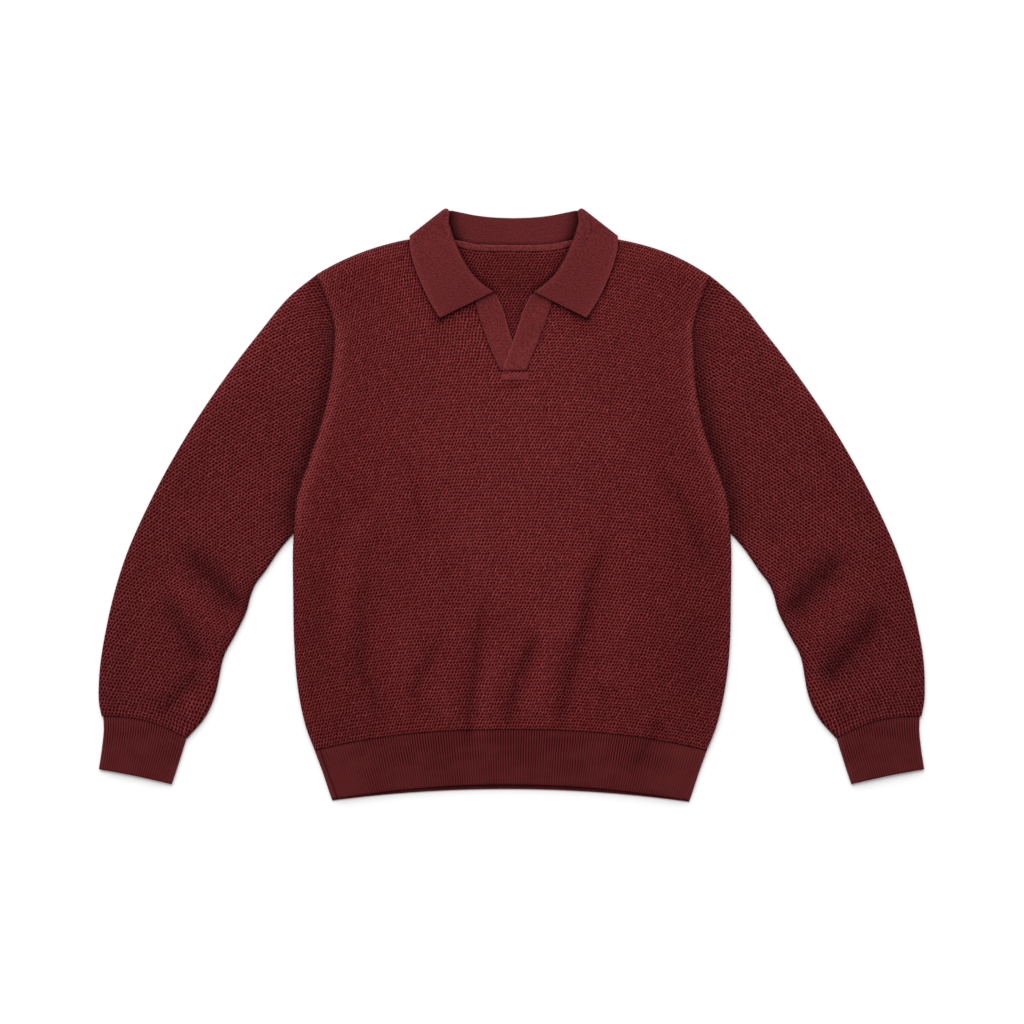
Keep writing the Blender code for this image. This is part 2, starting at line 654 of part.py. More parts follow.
def sleeve_shares(rows):
    """Shares across a sleeve: at the armhole its points meet those of a panel's rows."""
    span = SHOULDER_TIP_Y - UNDERARM_Y
    edge = EDGE_ROUND / span
    seat = [(SHOULDER_TIP_Y - row.side_y) / span for row in reversed(rows) if row.side_y > UNDERARM_Y]
    seat = [share for share in seat if share < 1.0 - 2.0 * edge]
    seat += [1.0 - edge, 1.0 - EDGE_CUT / span, 1.0]

    def at(section):
        even = edge_shares(section.width, np.linspace(0.0, 1.0, len(seat) - 4))
        blend = float(ease(section.t / SLEEVE_EVEN_FROM))
        return [a + (b - a) * blend for a, b in zip(seat, even)]

    return at


def add_sleeve(name, side):
    """A sleeve: a flattened tube, open at the armhole and at the cuff."""
    sections = [sleeve_section(row.t, row.risen, row.opened, side) for row in SLEEVE_ROWS]
    outer, inner, anchors = flat_tube(sections, sleeve_shares(FRONT_ROWS), sleeve_shares(BACK_ROWS),
                                      SLEEVE_STEPS, WALL)
    points, faces = grid_wall(outer, inner, True, anchors)
    points[:, 0] *= side
    add_piece(name, points, faces, KNIT_COLOUR)


def cuff_section(t):
    """A section across a cuff at t of its height, with ribs on its upper face."""
    bow = CUFF_SEAM_BOW + (CUFF_FOOT_BOW - CUFF_SEAM_BOW) * t
    plan_at, width = across_plan(cuff_outer, cuff_inner, t, bow, lambda share: np.zeros(2))
    first = EDGE_ROUND / width

    def rib_at(share):
        turn = np.clip((share - first) / (1.0 - 2.0 * first), 0.0, 1.0) * CUFF_RIBS
        return RIB_RISE * (1.0 - RIB_FADE * t) * (1.0 - math.cos(2.0 * math.pi * turn)) / 2.0

    def face_at(x, y, distance):
        return 2.0 * RIB_WALL + LAYER_GAP + CUFF_PUFF * float(rise(distance, CUFF_PUFF_RISE))

    return Section(t, plan_at, plan_at, width, 1.0, face_at, rib_at)


def add_cuff(name, side):
    """A ribbed cuff: a short flattened tube."""
    sections = [cuff_section(t) for t in (0.0, 0.35, 0.7, 1.0)]
    ribs = np.linspace(0.0, 1.0, 2 * CUFF_RIBS + 1)
    plain = np.linspace(0.0, 1.0, CUFF_STEPS + 1)
    outer, inner, anchors = flat_tube(sections, lambda section: edge_shares(section.width, ribs),
                                      lambda section: edge_shares(section.width, plain),
                                      CUFF_STEPS, RIB_WALL)
    points, faces = grid_wall(outer, inner, True, anchors)
    points[:, 0] *= side
    add_piece(name, points, faces, RIB_COLOUR)


# Hem

def hem_point(r, s, foot_y, foot_drop):
    """A plan point of the hem, r from its centre to its side and s from its seam to its foot."""
    x = r * (HEM_TOP_HALF + (HEM_FOOT_HALF - HEM_TOP_HALF) * s)
    top = float(hem_seam_y(r * HEM_TOP_HALF)) - SEAM
    foot = foot_y - foot_drop * r * r
    return x, top + (foot - top) * s


def hem_half(s):
    """Half the hem's width, s from its seam to its foot."""
    return HEM_TOP_HALF + (HEM_FOOT_HALF - HEM_TOP_HALF) * s


def hem_lines(inside):
    """Shares of the hem's width from -1 to 1, close together at its rounded edges."""
    return [2.0 * share - 1.0 for share in edge_shares(2.0 * HEM_TOP_HALF, inside)]


def add_hem_front():
    """The front welt, with its ribs raised over a plain inside."""
    def low_at(r, s):
        x, y = hem_point(r, s, HEM_FRONT_Y, HEM_FRONT_DROP)
        inside = float(rise((1.0 - abs(r)) * hem_half(s), HEM_PUFF_RISE))
        fold = float(relief(np.array(x), np.array(y), BODY_FOLDS)) * (1.0 - s)
        return x, y, RIB_WALL + LAYER_GAP + (HEM_PUFF + HEM_FOLD_SHARE * fold) * inside

    outer = []
    for s in (0.0, 0.3, 0.65, 1.0):
        line = []
        for k, r in enumerate(hem_lines(np.linspace(0.0, 1.0, 2 * HEM_RIBS + 1))):
            x, y, z = low_at(r, s)
            z += RIB_WALL * thinned(float(rounding((1.0 - abs(r)) * hem_half(s))))
            if k % 2 == 1 and 2 < k < 2 * HEM_RIBS + 2:
                z += RIB_RISE * (1.0 - RIB_FADE * s)
            line.append((x, y, z))
        outer.append(line)
    plain = hem_lines(np.linspace(0.0, 1.0, HEM_STEPS + 1))
    inner = [[low_at(r, s) for r in plain] for s in (0.0, 1.0)]
    points, faces = grid_wall(outer, inner, False)
    add_piece("hem_front", points, faces, RIB_COLOUR)


def add_hem_back():
    """The back welt. It rests flat on z = 0 and shows as a line below the front one."""
    lines = hem_lines(np.linspace(0.0, 1.0, HEM_BACK_STEPS + 1))
    lower = []
    upper = []
    for s in (0.0, 0.5, 1.0):
        floor = []
        for r in lines:
            x, y = hem_point(r, s, HEM_BACK_Y, HEM_BACK_DROP)
            reach = float(rounding((1.0 - abs(r)) * hem_half(s)))
            floor.append((x, y, RIB_WALL * (1.0 - thinned(reach))))
        lower.append(floor)
        upper.append([(x, y, RIB_WALL) for x, y, z in floor])
    points, faces = grid_wall(upper, lower, False)
    add_piece("hem_back", points, faces, RIB_COLOUR)


# Collar

def table_curve(rows, count):
    """A smooth run of count collar rows through the given ones."""
    smooth = spline(range(len(rows)), rows)
    return [CollarRow(*smooth(k)) for k in np.linspace(0.0, len(rows) - 1.0, count)]


def collar_section(row, turn):
    """Centre points of one collar section: up the stand, round the roll line and down the leaf.

    turn goes from 0, on the front, to 1, on the back: the layers swing round the shoulder. The
    stand and the leaf lie at their heights from a core between the front and back layers.
    """
    seam = np.array((row.seam_x, row.seam_y))
    roll = np.array((row.roll_x, row.roll_y))
    edge = np.array((row.edge_x, row.edge_y))
    inward = (roll - edge) / np.hypot(*(roll - edge))
    outward = np.array((math.sin(WRAP_ANGLE), math.cos(WRAP_ANGLE)))
    if row is COLLAR_WRAP:
        roll = roll - outward * WRAP_INSET - inward * BEND_INSET / 2.0
        edge = edge - outward * WRAP_INSET
    else:
        roll = roll - inward * BEND_INSET
    angle = math.pi * turn
    swing = np.array((outward[0] * math.sin(angle), outward[1] * math.sin(angle), math.cos(angle)))
    core = 2.0 * FINE_WALL + COLLAR_LIFT - FINE_WALL / 2.0 + CORE_RISE

    def offsets(x, y):
        front_stand = float(front_in(x, y)) + FINE_WALL / 2.0 - core
        front_leaf = float(front_out(x, y)) + LEAF_GAP + FINE_WALL / 2.0 - core
        back_stand = core - COLLAR_LIFT - FINE_WALL / 2.0
        back_leaf = core - FINE_WALL / 2.0
        return (front_stand + (back_stand - front_stand) * turn,
                front_leaf + (back_leaf - front_leaf) * turn)

    points = []
    for share in (0.0, 0.5, 1.0):
        x, y = seam + (roll - seam) * share
        points.append(np.array((x, y, core)) + swing * offsets(x, y)[0])
    stand, leaf = offsets(*roll)
    side = np.array((inward[0], inward[1], 0.0))
    for bend in (0.25, 0.5, 0.75):
        middle = (stand + leaf) / 2.0
        radius = (leaf - stand) / 2.0
        points.append(np.array((roll[0], roll[1], core)) + side * radius * math.sin(math.pi * bend)
                      + swing * (middle - radius * math.cos(math.pi * bend)))
    for share in (0.0, 0.25, 0.5, 0.75, 1.0):
        x, y = roll + (edge - roll) * share
        points.append(np.array((x, y, core)) + swing * offsets(x, y)[1])
    return points


def add_collar():
    """The collar: one fine-knit wall from its seam, over the roll line, to the leaf's edge."""
    half = [collar_section(row, 0.0) for row in table_curve(COLLAR_FRONT, 10)]
    half += [collar_section(COLLAR_WRAP, turn) for turn in np.linspace(0.0, 1.0, 6)]
    half += [collar_section(row, 1.0) for row in table_curve(COLLAR_BACK, 8)]
    mirrored = [[p * np.array((-1.0, 1.0, 1.0)) for p in section] for section in half[-2::-1]]
    centre = np.array(half + mirrored)
    along = np.gradient(centre, axis=0)
    down = np.gradient(centre, axis=1)
    normals = np.cross(along, down)
    normals /= np.linalg.norm(normals, axis=2, keepdims=True)
    points, faces = grid_wall(centre + normals * FINE_WALL / 2.0, centre - normals * FINE_WALL / 2.0, False)
    add_piece("collar", points, faces, FINE_COLOUR)


def add_neck_tape():
    """The tape over the back neck seam, between the back panel and the collar's stand."""
    seam = table_curve(COLLAR_BACK, 8)[::-1]
    upper = [[], []]
    half = [NECK_POINT_X * share for share in NECK_FILL]
    for x in [-x for x in half[:0:-1]] + half:
        top = float(np.interp(abs(x), [row.seam_x for row in seam], [row.seam_y for row in seam]))
        upper[0].append((x, float(back_neck_y(x)) + TAPE_LOW_GAP, COLLAR_LIFT + TAPE_WALL))
        upper[1].append((x, top - TAPE_TOP_GAP, COLLAR_LIFT + TAPE_WALL))
    lower = [[(x, y, COLLAR_LIFT) for x, y, z in line] for line in upper]
    points, faces = grid_wall(upper, lower, False)
    add_piece("neck_tape", points, faces, FINE_COLOUR)


# Placket

def add_placket(name, side, over):
    """A facing strip down one edge of the V. The left one lies over the foot of the right one."""
    lower = []
    stations = [row.centre_y for row in FRONT_ROWS if NOTCH_Y < row.centre_y < STRIP_OUTER[-1].y]
    for outer_y in [STRIP_FOOT_Y] + stations + [STRIP_OUTER[-1].y]:
        share = (outer_y - STRIP_FOOT_Y) / (STRIP_OUTER[-1].y - STRIP_FOOT_Y)
        inner_y = STRIP_FOOT_Y + (STRIP_INNER[-1].y - STRIP_FOOT_Y) * share
        inner_x = float(strip_inner_x(inner_y))
        outer_x = float(notch_x(outer_y)) - STRIP_GAP
        overlap = over * (FINE_WALL + SEAM) * float(ease((STRIP_CLEAR_Y - inner_y) / STRIP_CLEAR_RUN))
        line = []
        for across in (0.0, 0.5, 1.0):
            x = inner_x + (outer_x - inner_x) * across
            y = inner_y + (outer_y - inner_y) * across
            line.append((side * x, y, float(front_in(side * x, y)) + overlap))
        lower.append(line)
    upper = [[(x, y, z + FINE_WALL) for x, y, z in line] for line in lower]
    points, faces = grid_wall(upper, lower, False)
    add_piece(name, points, faces, FINE_COLOUR)


def add_placket_bar():
    """The bar across the foot of the V, on the front panel's face."""
    lower = []
    for y in (BAR_TOP_Y, BAR_TOP_Y - BAR_HEIGHT):
        line = []
        for x in np.linspace(BAR_LEFT, BAR_RIGHT, 4):
            line.append((x, y, float(front_out(x, y)) + SEAM))
        lower.append(line)
    upper = [[(x, y, z + BAR_WALL) for x, y, z in line] for line in lower]
    points, faces = grid_wall(upper, lower, False)
    add_piece("placket_bar", points, faces, FINE_COLOUR)


for old in list(bpy.data.objects):
    bpy.data.objects.remove(old)
garment = bpy.data.collections.new("knitted_polo_sweater")
bpy.context.scene.collection.children.link(garment)

add_back()
add_front()
add_sleeve("sleeve_left", 1)
add_sleeve("sleeve_right", -1)
add_hem_back()
add_hem_front()
add_cuff("cuff_left", 1)
add_cuff("cuff_right", -1)
add_collar()
add_neck_tape()
add_placket("placket_right", -1, 0.0)
add_placket("placket_left", 1, 1.0)
add_placket_bar()
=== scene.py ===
"""A long-sleeved knitted polo sweater, laid flat with its front up and seen from straight above.

The front faces +Z, the neck points to +Y and the wearer's left is at +X. Sizes and tables are in
millimetres, and each mesh is scaled to metres as it is made.
"""
import math

import bmesh
import bpy
import numpy as np
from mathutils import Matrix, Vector


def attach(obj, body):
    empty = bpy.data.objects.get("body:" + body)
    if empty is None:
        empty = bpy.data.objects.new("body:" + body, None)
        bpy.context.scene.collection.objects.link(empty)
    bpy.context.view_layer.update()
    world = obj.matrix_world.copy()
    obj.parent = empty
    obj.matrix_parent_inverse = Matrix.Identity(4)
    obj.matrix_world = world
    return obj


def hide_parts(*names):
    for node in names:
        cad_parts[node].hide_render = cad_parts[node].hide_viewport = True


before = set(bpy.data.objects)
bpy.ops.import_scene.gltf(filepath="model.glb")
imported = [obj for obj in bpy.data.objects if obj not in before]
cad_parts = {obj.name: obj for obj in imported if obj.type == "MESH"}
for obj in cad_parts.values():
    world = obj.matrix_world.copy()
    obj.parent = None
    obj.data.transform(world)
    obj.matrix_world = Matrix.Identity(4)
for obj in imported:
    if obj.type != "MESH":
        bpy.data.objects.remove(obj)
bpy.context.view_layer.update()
for thing in list(bpy.context.selected_objects):
    thing.select_set(False)


# Back panel. One flat piece of cotton tuck knit, cut to the body's outline, with its stitches
# running up from the hem. It lies underneath and rests on the floor, and its inside shows in the
# neck opening, where the back leaf of the collar lifts it a little.

WALL = 2.8
LAYER_GAP = 0.4
HEM_SEAM_Y, HEM_SEAM_DROP, HEM_BOW = -272.3, 25.5, 2.4
SIDE_SEAM_Y, SHOULDER_TIP_Y, SHOULDER_BOW = -297.8, 279.6, 2.05
NECK_POINT_X, NECK_POINT_Y = 87.0, 325.0
BACK_NECK_Y, BACK_NECK_BOW = 306.9, 4.5
NOTCH_Y, NOTCH_SIDE_Y = 162.0, 135.5
HEM_TOP_HALF = 238.3
NOTCH_COURSE, TOP_COURSE = 110, 152
WALE = 3.8
COLLAR_LIFT = 3.0
SEWN = 12.0
WANDER = 0.17
FIRST_WALE = 100000

BODY_SIDE = [(-297.8, 238.3), (-271.1, 248.6), (-241.9, 255.9), (-212.7, 260.7), (-169.0, 264.4),
             (-115.5, 265.6), (-34.0, 265.1), (10.9, 260.5), (43.8, 249.8), (88.7, 234.1),
             (135.5, 222.6), (188.4, 215.8), (211.5, 214.9), (240.7, 221.5), (258.9, 228.4),
             (279.6, 237.2)]
NOTCH_SIDE = [(162.0, 16.0), (192.4, 29.0), (214.7, 37.5), (237.7, 45.2), (263.0, 51.5),
              (276.0, 60.0), (294.0, 76.0), (311.0, 85.0), (325.0, 87.0)]
ROLL_LINE = [(24.3, 258.2), (38.5, 268.4), (49.7, 279.6), (59.1, 293.6), (67.3, 310.3), (72.9, 324.2),
             (78.6, 342.0), (80.5, 357.0)]
BACK_CREASES = [
    (13.0, -1.6, (-150, -60), (-120, -110), (-98, -170), (-90, -235)),
    (10.0, -1.2, (-40, -130), (-28, -180), (-24, -250)),
    (12.0, -1.5, (70, -80), (58, -140), (62, -200), (54, -262)),
    (9.0, -1.0, (140, -170), (126, -215), (122, -270)),
    (14.0, -1.3, (190, 60), (170, 10), (158, -50), (160, -120)),
    (12.0, -1.2, (-196, 70), (-178, 20), (-172, -40)),
    (16.0, -0.9, (-90, 190), (-30, 176), (50, 184)),
    (11.0, -1.0, (20, 90), (4, 30), (8, -30)),
]
LEAF_BACK_EDGE = [(0.0, 289.0), (50.0, 290.0), (85.0, 294.0), (110.0, 303.0), (127.0, 325.8),
                  (160.0, 355.5), (600.0, 751.0)]


def spline(keys, values):
    """A smooth function through values given at rising keys."""
    keys = np.array(keys, float)
    values = np.array(values, float)
    slopes = np.gradient(values, keys, axis=0)

    def at(key):
        key = np.clip(np.asarray(key, float), keys[0], keys[-1])
        i = np.clip(np.searchsorted(keys, key, side="right") - 1, 0, len(keys) - 2)
        step = keys[i + 1] - keys[i]
        f = (key - keys[i]) / step
        if values.ndim > 1:
            f = f[..., None]
            step = step[..., None]
        start = (2 * f ** 3 - 3 * f ** 2 + 1) * values[i] + (f ** 3 - 2 * f ** 2 + f) * step * slopes[i]
        end = (3 * f ** 2 - 2 * f ** 3) * values[i + 1] + (f ** 3 - f ** 2) * step * slopes[i + 1]
        return start + end

    return at


def ease(t):
    """A soft step from 0 to 1."""
    t = np.clip(t, 0.0, 1.0)
    return t * t * (3.0 - 2.0 * t)


def rise(distance, start, run):
    """How far something has risen, from 0 to 1, at a distance from where it starts."""
    return ease((np.asarray(distance, float) - start) / run)


def rounding(distance, radius=4.5):
    """How full a wall is, from 0 to 1, at a distance from its rounded edge."""
    t = 1.0 - np.clip(np.asarray(distance, float) / radius, 0.0, 1.0)
    return np.sqrt(1.0 - t * t)


side_x = spline(*zip(*BODY_SIDE))
notch_x = spline(*zip(*NOTCH_SIDE))


def hem_seam_y(x):
    """The height of the seam between body and hem."""
    return HEM_SEAM_Y - HEM_SEAM_DROP * np.clip(np.abs(x) / HEM_TOP_HALF, 0.0, 1.0) ** HEM_BOW


def shoulder_y(x):
    """The height of the shoulder seam, level inside the neck point."""
    reach = float(side_x(SHOULDER_TIP_Y)) - NECK_POINT_X
    share = np.clip((np.abs(x) - NECK_POINT_X) / reach, 0.0, 1.0)
    return NECK_POINT_Y + (SHOULDER_TIP_Y - NECK_POINT_Y) * share ** SHOULDER_BOW


def leaf_clearance(x, y):
    """How far a point lies above the hidden edge of the collar's back leaf, in plan."""
    return y - np.interp(np.abs(x), *zip(*LEAF_BACK_EDGE))


def near(distance, width):
    """How near something lies, from 1 on a line to almost 0 at twice a width from it."""
    return np.exp(-(np.asarray(distance, float) / width) ** 2)


def follow(x, y, line):
    """The distance from points to a line of plan points, and their share of the way along it."""
    best = np.full(np.shape(x), np.inf)
    along = np.zeros(np.shape(x))
    total = sum(math.dist(a, b) for a, b in zip(line, line[1:]))
    start = 0.0
    for (ax, ay), (bx, by) in zip(line, line[1:]):
        dx, dy = bx - ax, by - ay
        length = math.hypot(dx, dy)
        share = np.clip(((x - ax) * dx + (y - ay) * dy) / length ** 2, 0.0, 1.0)
        distance = np.hypot(x - ax - share * dx, y - ay - share * dy)
        along = np.where(distance < best, (start + share * length) / total, along)
        best = np.minimum(best, distance)
        start += length
    return best, along


def distance_to(x, y, line):
    """The distance from points to a line of plan points."""
    return follow(x, y, line)[0]


def relief(x, y, creases):
    """The height and the tone that creases add: each has a width, a height, and points it runs through.

    A trough has a narrow core of painted shade. A ridge is broad, and has a faint painted highlight.
    """
    lift = np.zeros(np.shape(x))
    tone = np.zeros(np.shape(x))
    for width, height, *points in creases:
        distance, along = follow(x, y, points)
        fade = rise(along, -0.03, 0.36) * rise(1.0 - along, -0.03, 0.22)
        broad = fade * near(distance, 1.25 * width)
        core = fade * near(distance, 0.55 * width)
        if height < 0.0:
            lift = lift + height * (0.7 * broad + 0.3 * core)
            # Painted shade in a trough, darkest in its core.
            tone = tone + height * (0.058 * broad + 0.034 * core)
        else:
            lift = lift + 1.3 * height * broad
            # A faint painted highlight along a ridge.
            tone = tone + 0.080 * height * broad
    return lift, tone


def back_lift(x, y):
    """How far the back panel is lifted where it lies on the collar's back leaf."""
    return COLLAR_LIFT * rise(leaf_clearance(x, y), -34.0, 30.0)


def course(v, x, open_notch):
    """The height of course v at points x of the panel, its half width, and the neck's there."""
    x = np.abs(x)
    low = v < NOTCH_COURSE
    if low:
        share = v / NOTCH_COURSE
        inner_y = HEM_SEAM_Y + share * (NOTCH_Y - HEM_SEAM_Y)
        outer_y = SIDE_SEAM_Y + share * (NOTCH_SIDE_Y - SIDE_SEAM_Y)
        inner_x = float(notch_x(NOTCH_Y)) * float(rise(v, 60.0, NOTCH_COURSE - 60.0))
        share = share - 1.0
    else:
        share = (v - NOTCH_COURSE) / (TOP_COURSE - NOTCH_COURSE)
        inner_y = NOTCH_Y + share * (NECK_POINT_Y - NOTCH_Y)
        outer_y = NOTCH_SIDE_Y + share * (SHOULDER_TIP_Y - NOTCH_SIDE_Y)
        inner_x = float(notch_x(inner_y))
    outer_x = float(side_x(outer_y))
    bow = HEM_BOW + (SHOULDER_BOW - HEM_BOW) * (share + 1.0) / 2.0
    y = inner_y + (outer_y - inner_y) * np.clip((x - inner_x) / (outer_x - inner_x), 0.0, 1.0) ** bow
    if not open_notch and not low:
        middle_y = NOTCH_Y + (inner_y - NOTCH_Y) * (BACK_NECK_Y - NOTCH_Y) / (NECK_POINT_Y - NOTCH_Y)
        across = np.clip(x / inner_x, 0.0, 1.0) ** BACK_NECK_BOW
        y = np.where(x < inner_x, middle_y + (inner_y - middle_y) * across, y)
    return y, outer_x, inner_x


chance = np.random.default_rng(4)
WAVES = [(2.0 * math.pi / length, turn, phase, lean) for length, turn, phase, lean in zip(
    chance.uniform(7.5, 24.0, 14), chance.uniform(0.0, math.pi, 14),
    chance.uniform(0.0, 6.28, 14), chance.uniform(0.0, 6.28, 14))]


def settle(points, free):
    """Lays the garment a little unevenly, as a hand does, and lets the knitting wander where it is free."""
    x, y = points[:, 0].copy(), points[:, 1].copy()
    inside = 1.0 - rise(np.abs(x), 130.0, 105.0)
    outer = rise(np.abs(x), 225.0, 60.0)

    # The chest and the collar lie a little to the right, and the foot of the body to the left.
    points[:, 0] += (1.6 * rise(y, 40.0, 100.0) + rise(y, 200.0, 60.0)) * inside
    points[:, 0] += 0.9 * outer * rise(y, -250.0, 80.0)
    points[:, 0] -= (0.7 + 0.7 * rise(x, 0.0, 200.0)) * (1.0 - outer) * rise(-y, 150.0, 150.0)
    points[:, 1] += 1.3 * rise(x, 130.0, 60.0) * rise(-x, -330.0, 80.0) * rise(y, 210.0, 50.0)
    points[:, 1] -= 0.8 * x / 217.0 * rise(-y, 300.0, 40.0) * rise(-np.abs(x), -300.0, 60.0)

    # The right armhole lies further out, with the shoulder's edge sliding along itself.
    slide = 5.5 * rise(y, 60.0, 150.0) - 1.2 * rise(y, 235.0, 45.0)
    slide = slide * rise(x, 110.0, 100.0) * rise(-x, -360.0, 110.0)
    shoulder_slope = (0.42 + 0.26 * rise(x, 195.0, 50.0)) * rise(y, 215.0, 50.0)
    sleeve_slope = 1.25 * rise(x, 205.0, 75.0)
    points[:, 0] += slide
    points[:, 1] -= slide * np.maximum(shoulder_slope, sleeve_slope)

    for pitch, turn, phase, lean in WAVES:
        wave = WANDER * free * np.sin(pitch * (x * math.cos(turn) + y * math.sin(turn)) + phase)
        points[:, 0] += wave * math.cos(lean)
        points[:, 1] += wave * math.sin(lean)


def edge(rows, keys, end):
    """One side of a sheet of rows, as a row of its own, keyed by the places of the rows."""
    return [(key, row[end][1]) for key, row in zip(keys, rows)]


class Cloth:
    """A piece of cloth as it is made: its points, their places in the stitches, and its faces."""

    def __init__(self):
        self.points = []
        self.stitches = []
        self.tones = []
        self.free = []
        self.faces = []

    def row(self, x, y, z, u, v, tone=1.0, free=0.0):
        """Adds a row of points, and returns its (key, point) pairs, keyed by u."""
        first = len(self.points)
        self.points += list(zip(x, y, z))
        self.stitches += list(zip(u, np.broadcast_to(v, np.shape(u))))
        self.tones += list(np.broadcast_to(tone, np.shape(u)))
        self.free += list(np.broadcast_to(free, np.shape(u)))
        return [(float(key), first + k) for k, key in enumerate(u)]

    def join(self, low, high):
        """Fills the strip between two rows, matched by their rising keys."""
        i = j = 0
        while i < len(low) - 1 or j < len(high) - 1:
            next_low = low[i + 1][0] if i < len(low) - 1 else math.inf
            next_high = high[j + 1][0] if j < len(high) - 1 else math.inf
            if abs(next_low - next_high) < 1e-4:
                self.faces.append((low[i][1], low[i + 1][1], high[j + 1][1], high[j][1]))
                i += 1
                j += 1
            elif next_low < next_high:
                self.faces.append((low[i][1], low[i + 1][1], high[j][1]))
                i += 1
            else:
                self.faces.append((low[i][1], high[j + 1][1], high[j][1]))
                j += 1

    def patch(self, rows):
        """Fills between all the rows of a sheet."""
        for low, high in zip(rows, rows[1:]):
            self.join(low, high)

    def wall(self, rows, keys, other_rows, other_keys):
        """Fills two sheets of rows, and joins them along all four edges."""
        self.patch(rows)
        self.patch(other_rows)
        for end in (0, -1):
            self.join(rows[end], other_rows[end])
            self.join(edge(rows, keys, end), edge(other_rows, other_keys, end))

    def piece(self, name, material):
        """The cloth as an object that rides on the body, in metres, with its faces outwards."""
        points = np.array(self.points, float)
        settle(points, np.array(self.free, float))
        mesh = bpy.data.meshes.new(name)
        mesh.from_pydata((points * 0.001).tolist(), [], self.faces)
        corners = np.empty(len(mesh.loops), np.int32)
        mesh.loops.foreach_get("vertex_index", corners)
        stitches = np.array(self.stitches, np.float32)
        mesh.uv_layers.new(name="stitch").uv.foreach_set("vector", stitches[corners].ravel())
        tones = np.array(self.tones, np.float32)
        mesh.attributes.new("tone", "FLOAT", "POINT").data.foreach_set("value", tones)
        mesh.materials.append(material)
        work = bmesh.new()
        work.from_mesh(mesh)
        bmesh.ops.remove_doubles(work, verts=work.verts, dist=2e-6)
        open_edges = [side for side in work.edges if side.is_boundary]
        bmesh.ops.holes_fill(work, edges=open_edges, sides=8)
        bmesh.ops.recalc_face_normals(work, faces=work.faces)
        work.to_mesh(mesh)
        work.free()
        mesh.shade_smooth()
        made = bpy.data.objects.new(name, mesh)
        bpy.context.scene.collection.objects.link(made)
        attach(made, "root")
        return made


def lattice(xs, us, every=1, extra=()):
    """Where a row has its points along xs: both ends, beside them, and at every half wale.

    us are the wales at xs, both rising. Returns the places, their wales, and each one's half
    wale as a whole number, or -1 where it isn't on one.
    """
    close = every == 1
    margin = 3.4 if close else 6.0
    ends = (0.0, 0.9, 2.4) if close else (0.0,)
    count = np.arange(math.ceil(2 * us[0] / every) * every, math.floor(2 * us[-1]) + 1, every)
    places = np.interp(count / 2.0, us, xs)
    inside = (places > xs[0] + margin) & (places < xs[-1] - margin)
    beside = [xs[0] + d for d in ends] + [xs[-1] - d for d in ends] + list(extra)
    beside = np.array(sorted(set(x for x in beside if xs[0] <= x <= xs[-1])))
    for x in extra:
        inside &= np.abs(places - x) > 0.4
    x = np.concatenate((beside, places[inside]))
    u = np.concatenate((np.interp(beside, xs, us), count[inside] / 2.0))
    half = np.concatenate((np.full(len(beside), -1), count[inside] + FIRST_WALE))
    order = np.argsort(x)
    return x[order], u[order], half[order]


def pits(half, v):
    """Which points of a row are the pits of the tuck stitches: every other one, in turn."""
    if v != round(v):
        return np.zeros(len(half), bool)
    return (half >= 0) & ((half + int(round(v))) % 2 == 0)


def pitted(half, v, depth):
    """How deep a row's points lie in their stitches."""
    return pits(half, v) * depth * (1.0 + 0.2 * chance.uniform(-1.0, 1.0, len(half)))


def back_wale(x, y):
    """The wale that runs through a point of the back."""
    gather = (265.6 / side_x(np.minimum(y, -115.0))) ** 0.7
    return x * gather / WALE


class Value:
    """An output of a material's node. Reckoning with it adds Math nodes."""

    def __init__(self, tree, socket):
        self.tree = tree
        self.socket = socket

    def math(self, operation, *others):
        return node(self.tree, "ShaderNodeMath", self, *others, operation=operation)

    def __add__(self, other):
        return self.math("ADD", other)

    def __sub__(self, other):
        return self.math("SUBTRACT", other)

    def __mul__(self, other):
        return self.math("MULTIPLY", other)

    def __truediv__(self, other):
        return self.math("DIVIDE", other)

    def into(self, socket):
        """Links the value to a socket."""
        self.tree.links.new(self.socket, socket)


def fill(socket, value):
    """Links a value to a socket, or sets it there."""
    if isinstance(value, Value):
        value.into(socket)
    elif value is not None:
        socket.default_value = value


def node(tree, kind, *inputs, out=0, **settings):
    """Adds a node, with its inputs linked or set in their order, and returns one of its outputs."""
    made = tree.nodes.new(kind)
    for name, value in settings.items():
        setattr(made, name, value)
    for k, value in enumerate(inputs):
        fill(made.inputs[k], value)
    return Value(tree, made.outputs[out])


def split(vector):
    """The x, y and z of a vector."""
    parts = node(vector.tree, "ShaderNodeSeparateXYZ", vector).socket.node
    return [Value(vector.tree, socket) for socket in parts.outputs]


def soft_step(value, low, high, first=0.0, last=1.0):
    """A mask that goes softly from first to last as a value goes from low to high."""
    return node(value.tree, "ShaderNodeMapRange", value, low, high, first, last,
                interpolation_type="SMOOTHSTEP")


def grouped(tree, group, **inputs):
    """Adds a node group, with its inputs linked or set by name, and returns its outputs by name."""
    made = tree.nodes.new("ShaderNodeGroup")
    made.node_tree = group
    for name, value in inputs.items():
        fill(made.inputs[name], value)
    return {socket.name: Value(tree, socket) for socket in made.outputs}


def node_group(name, inputs, outputs):
    """An empty node group, its inputs by name, and the sockets of its outputs."""
    group = bpy.data.node_groups.new(name, "ShaderNodeTree")
    for socket, kind in inputs.items():
        group.interface.new_socket(socket, in_out="INPUT", socket_type="NodeSocket" + kind)
    for socket in outputs:
        group.interface.new_socket(socket, in_out="OUTPUT", socket_type="NodeSocketFloat")
    given = {socket.name: Value(group, socket) for socket in group.nodes.new("NodeGroupInput").outputs}
    return group, given, group.nodes.new("NodeGroupOutput").inputs


def mixed(share, colour, other):
    """A colour that goes over to another one."""
    unused = [None] * 5
    return node(share.tree, "ShaderNodeMix", share, *unused, colour, other, out=2, data_type="RGBA")


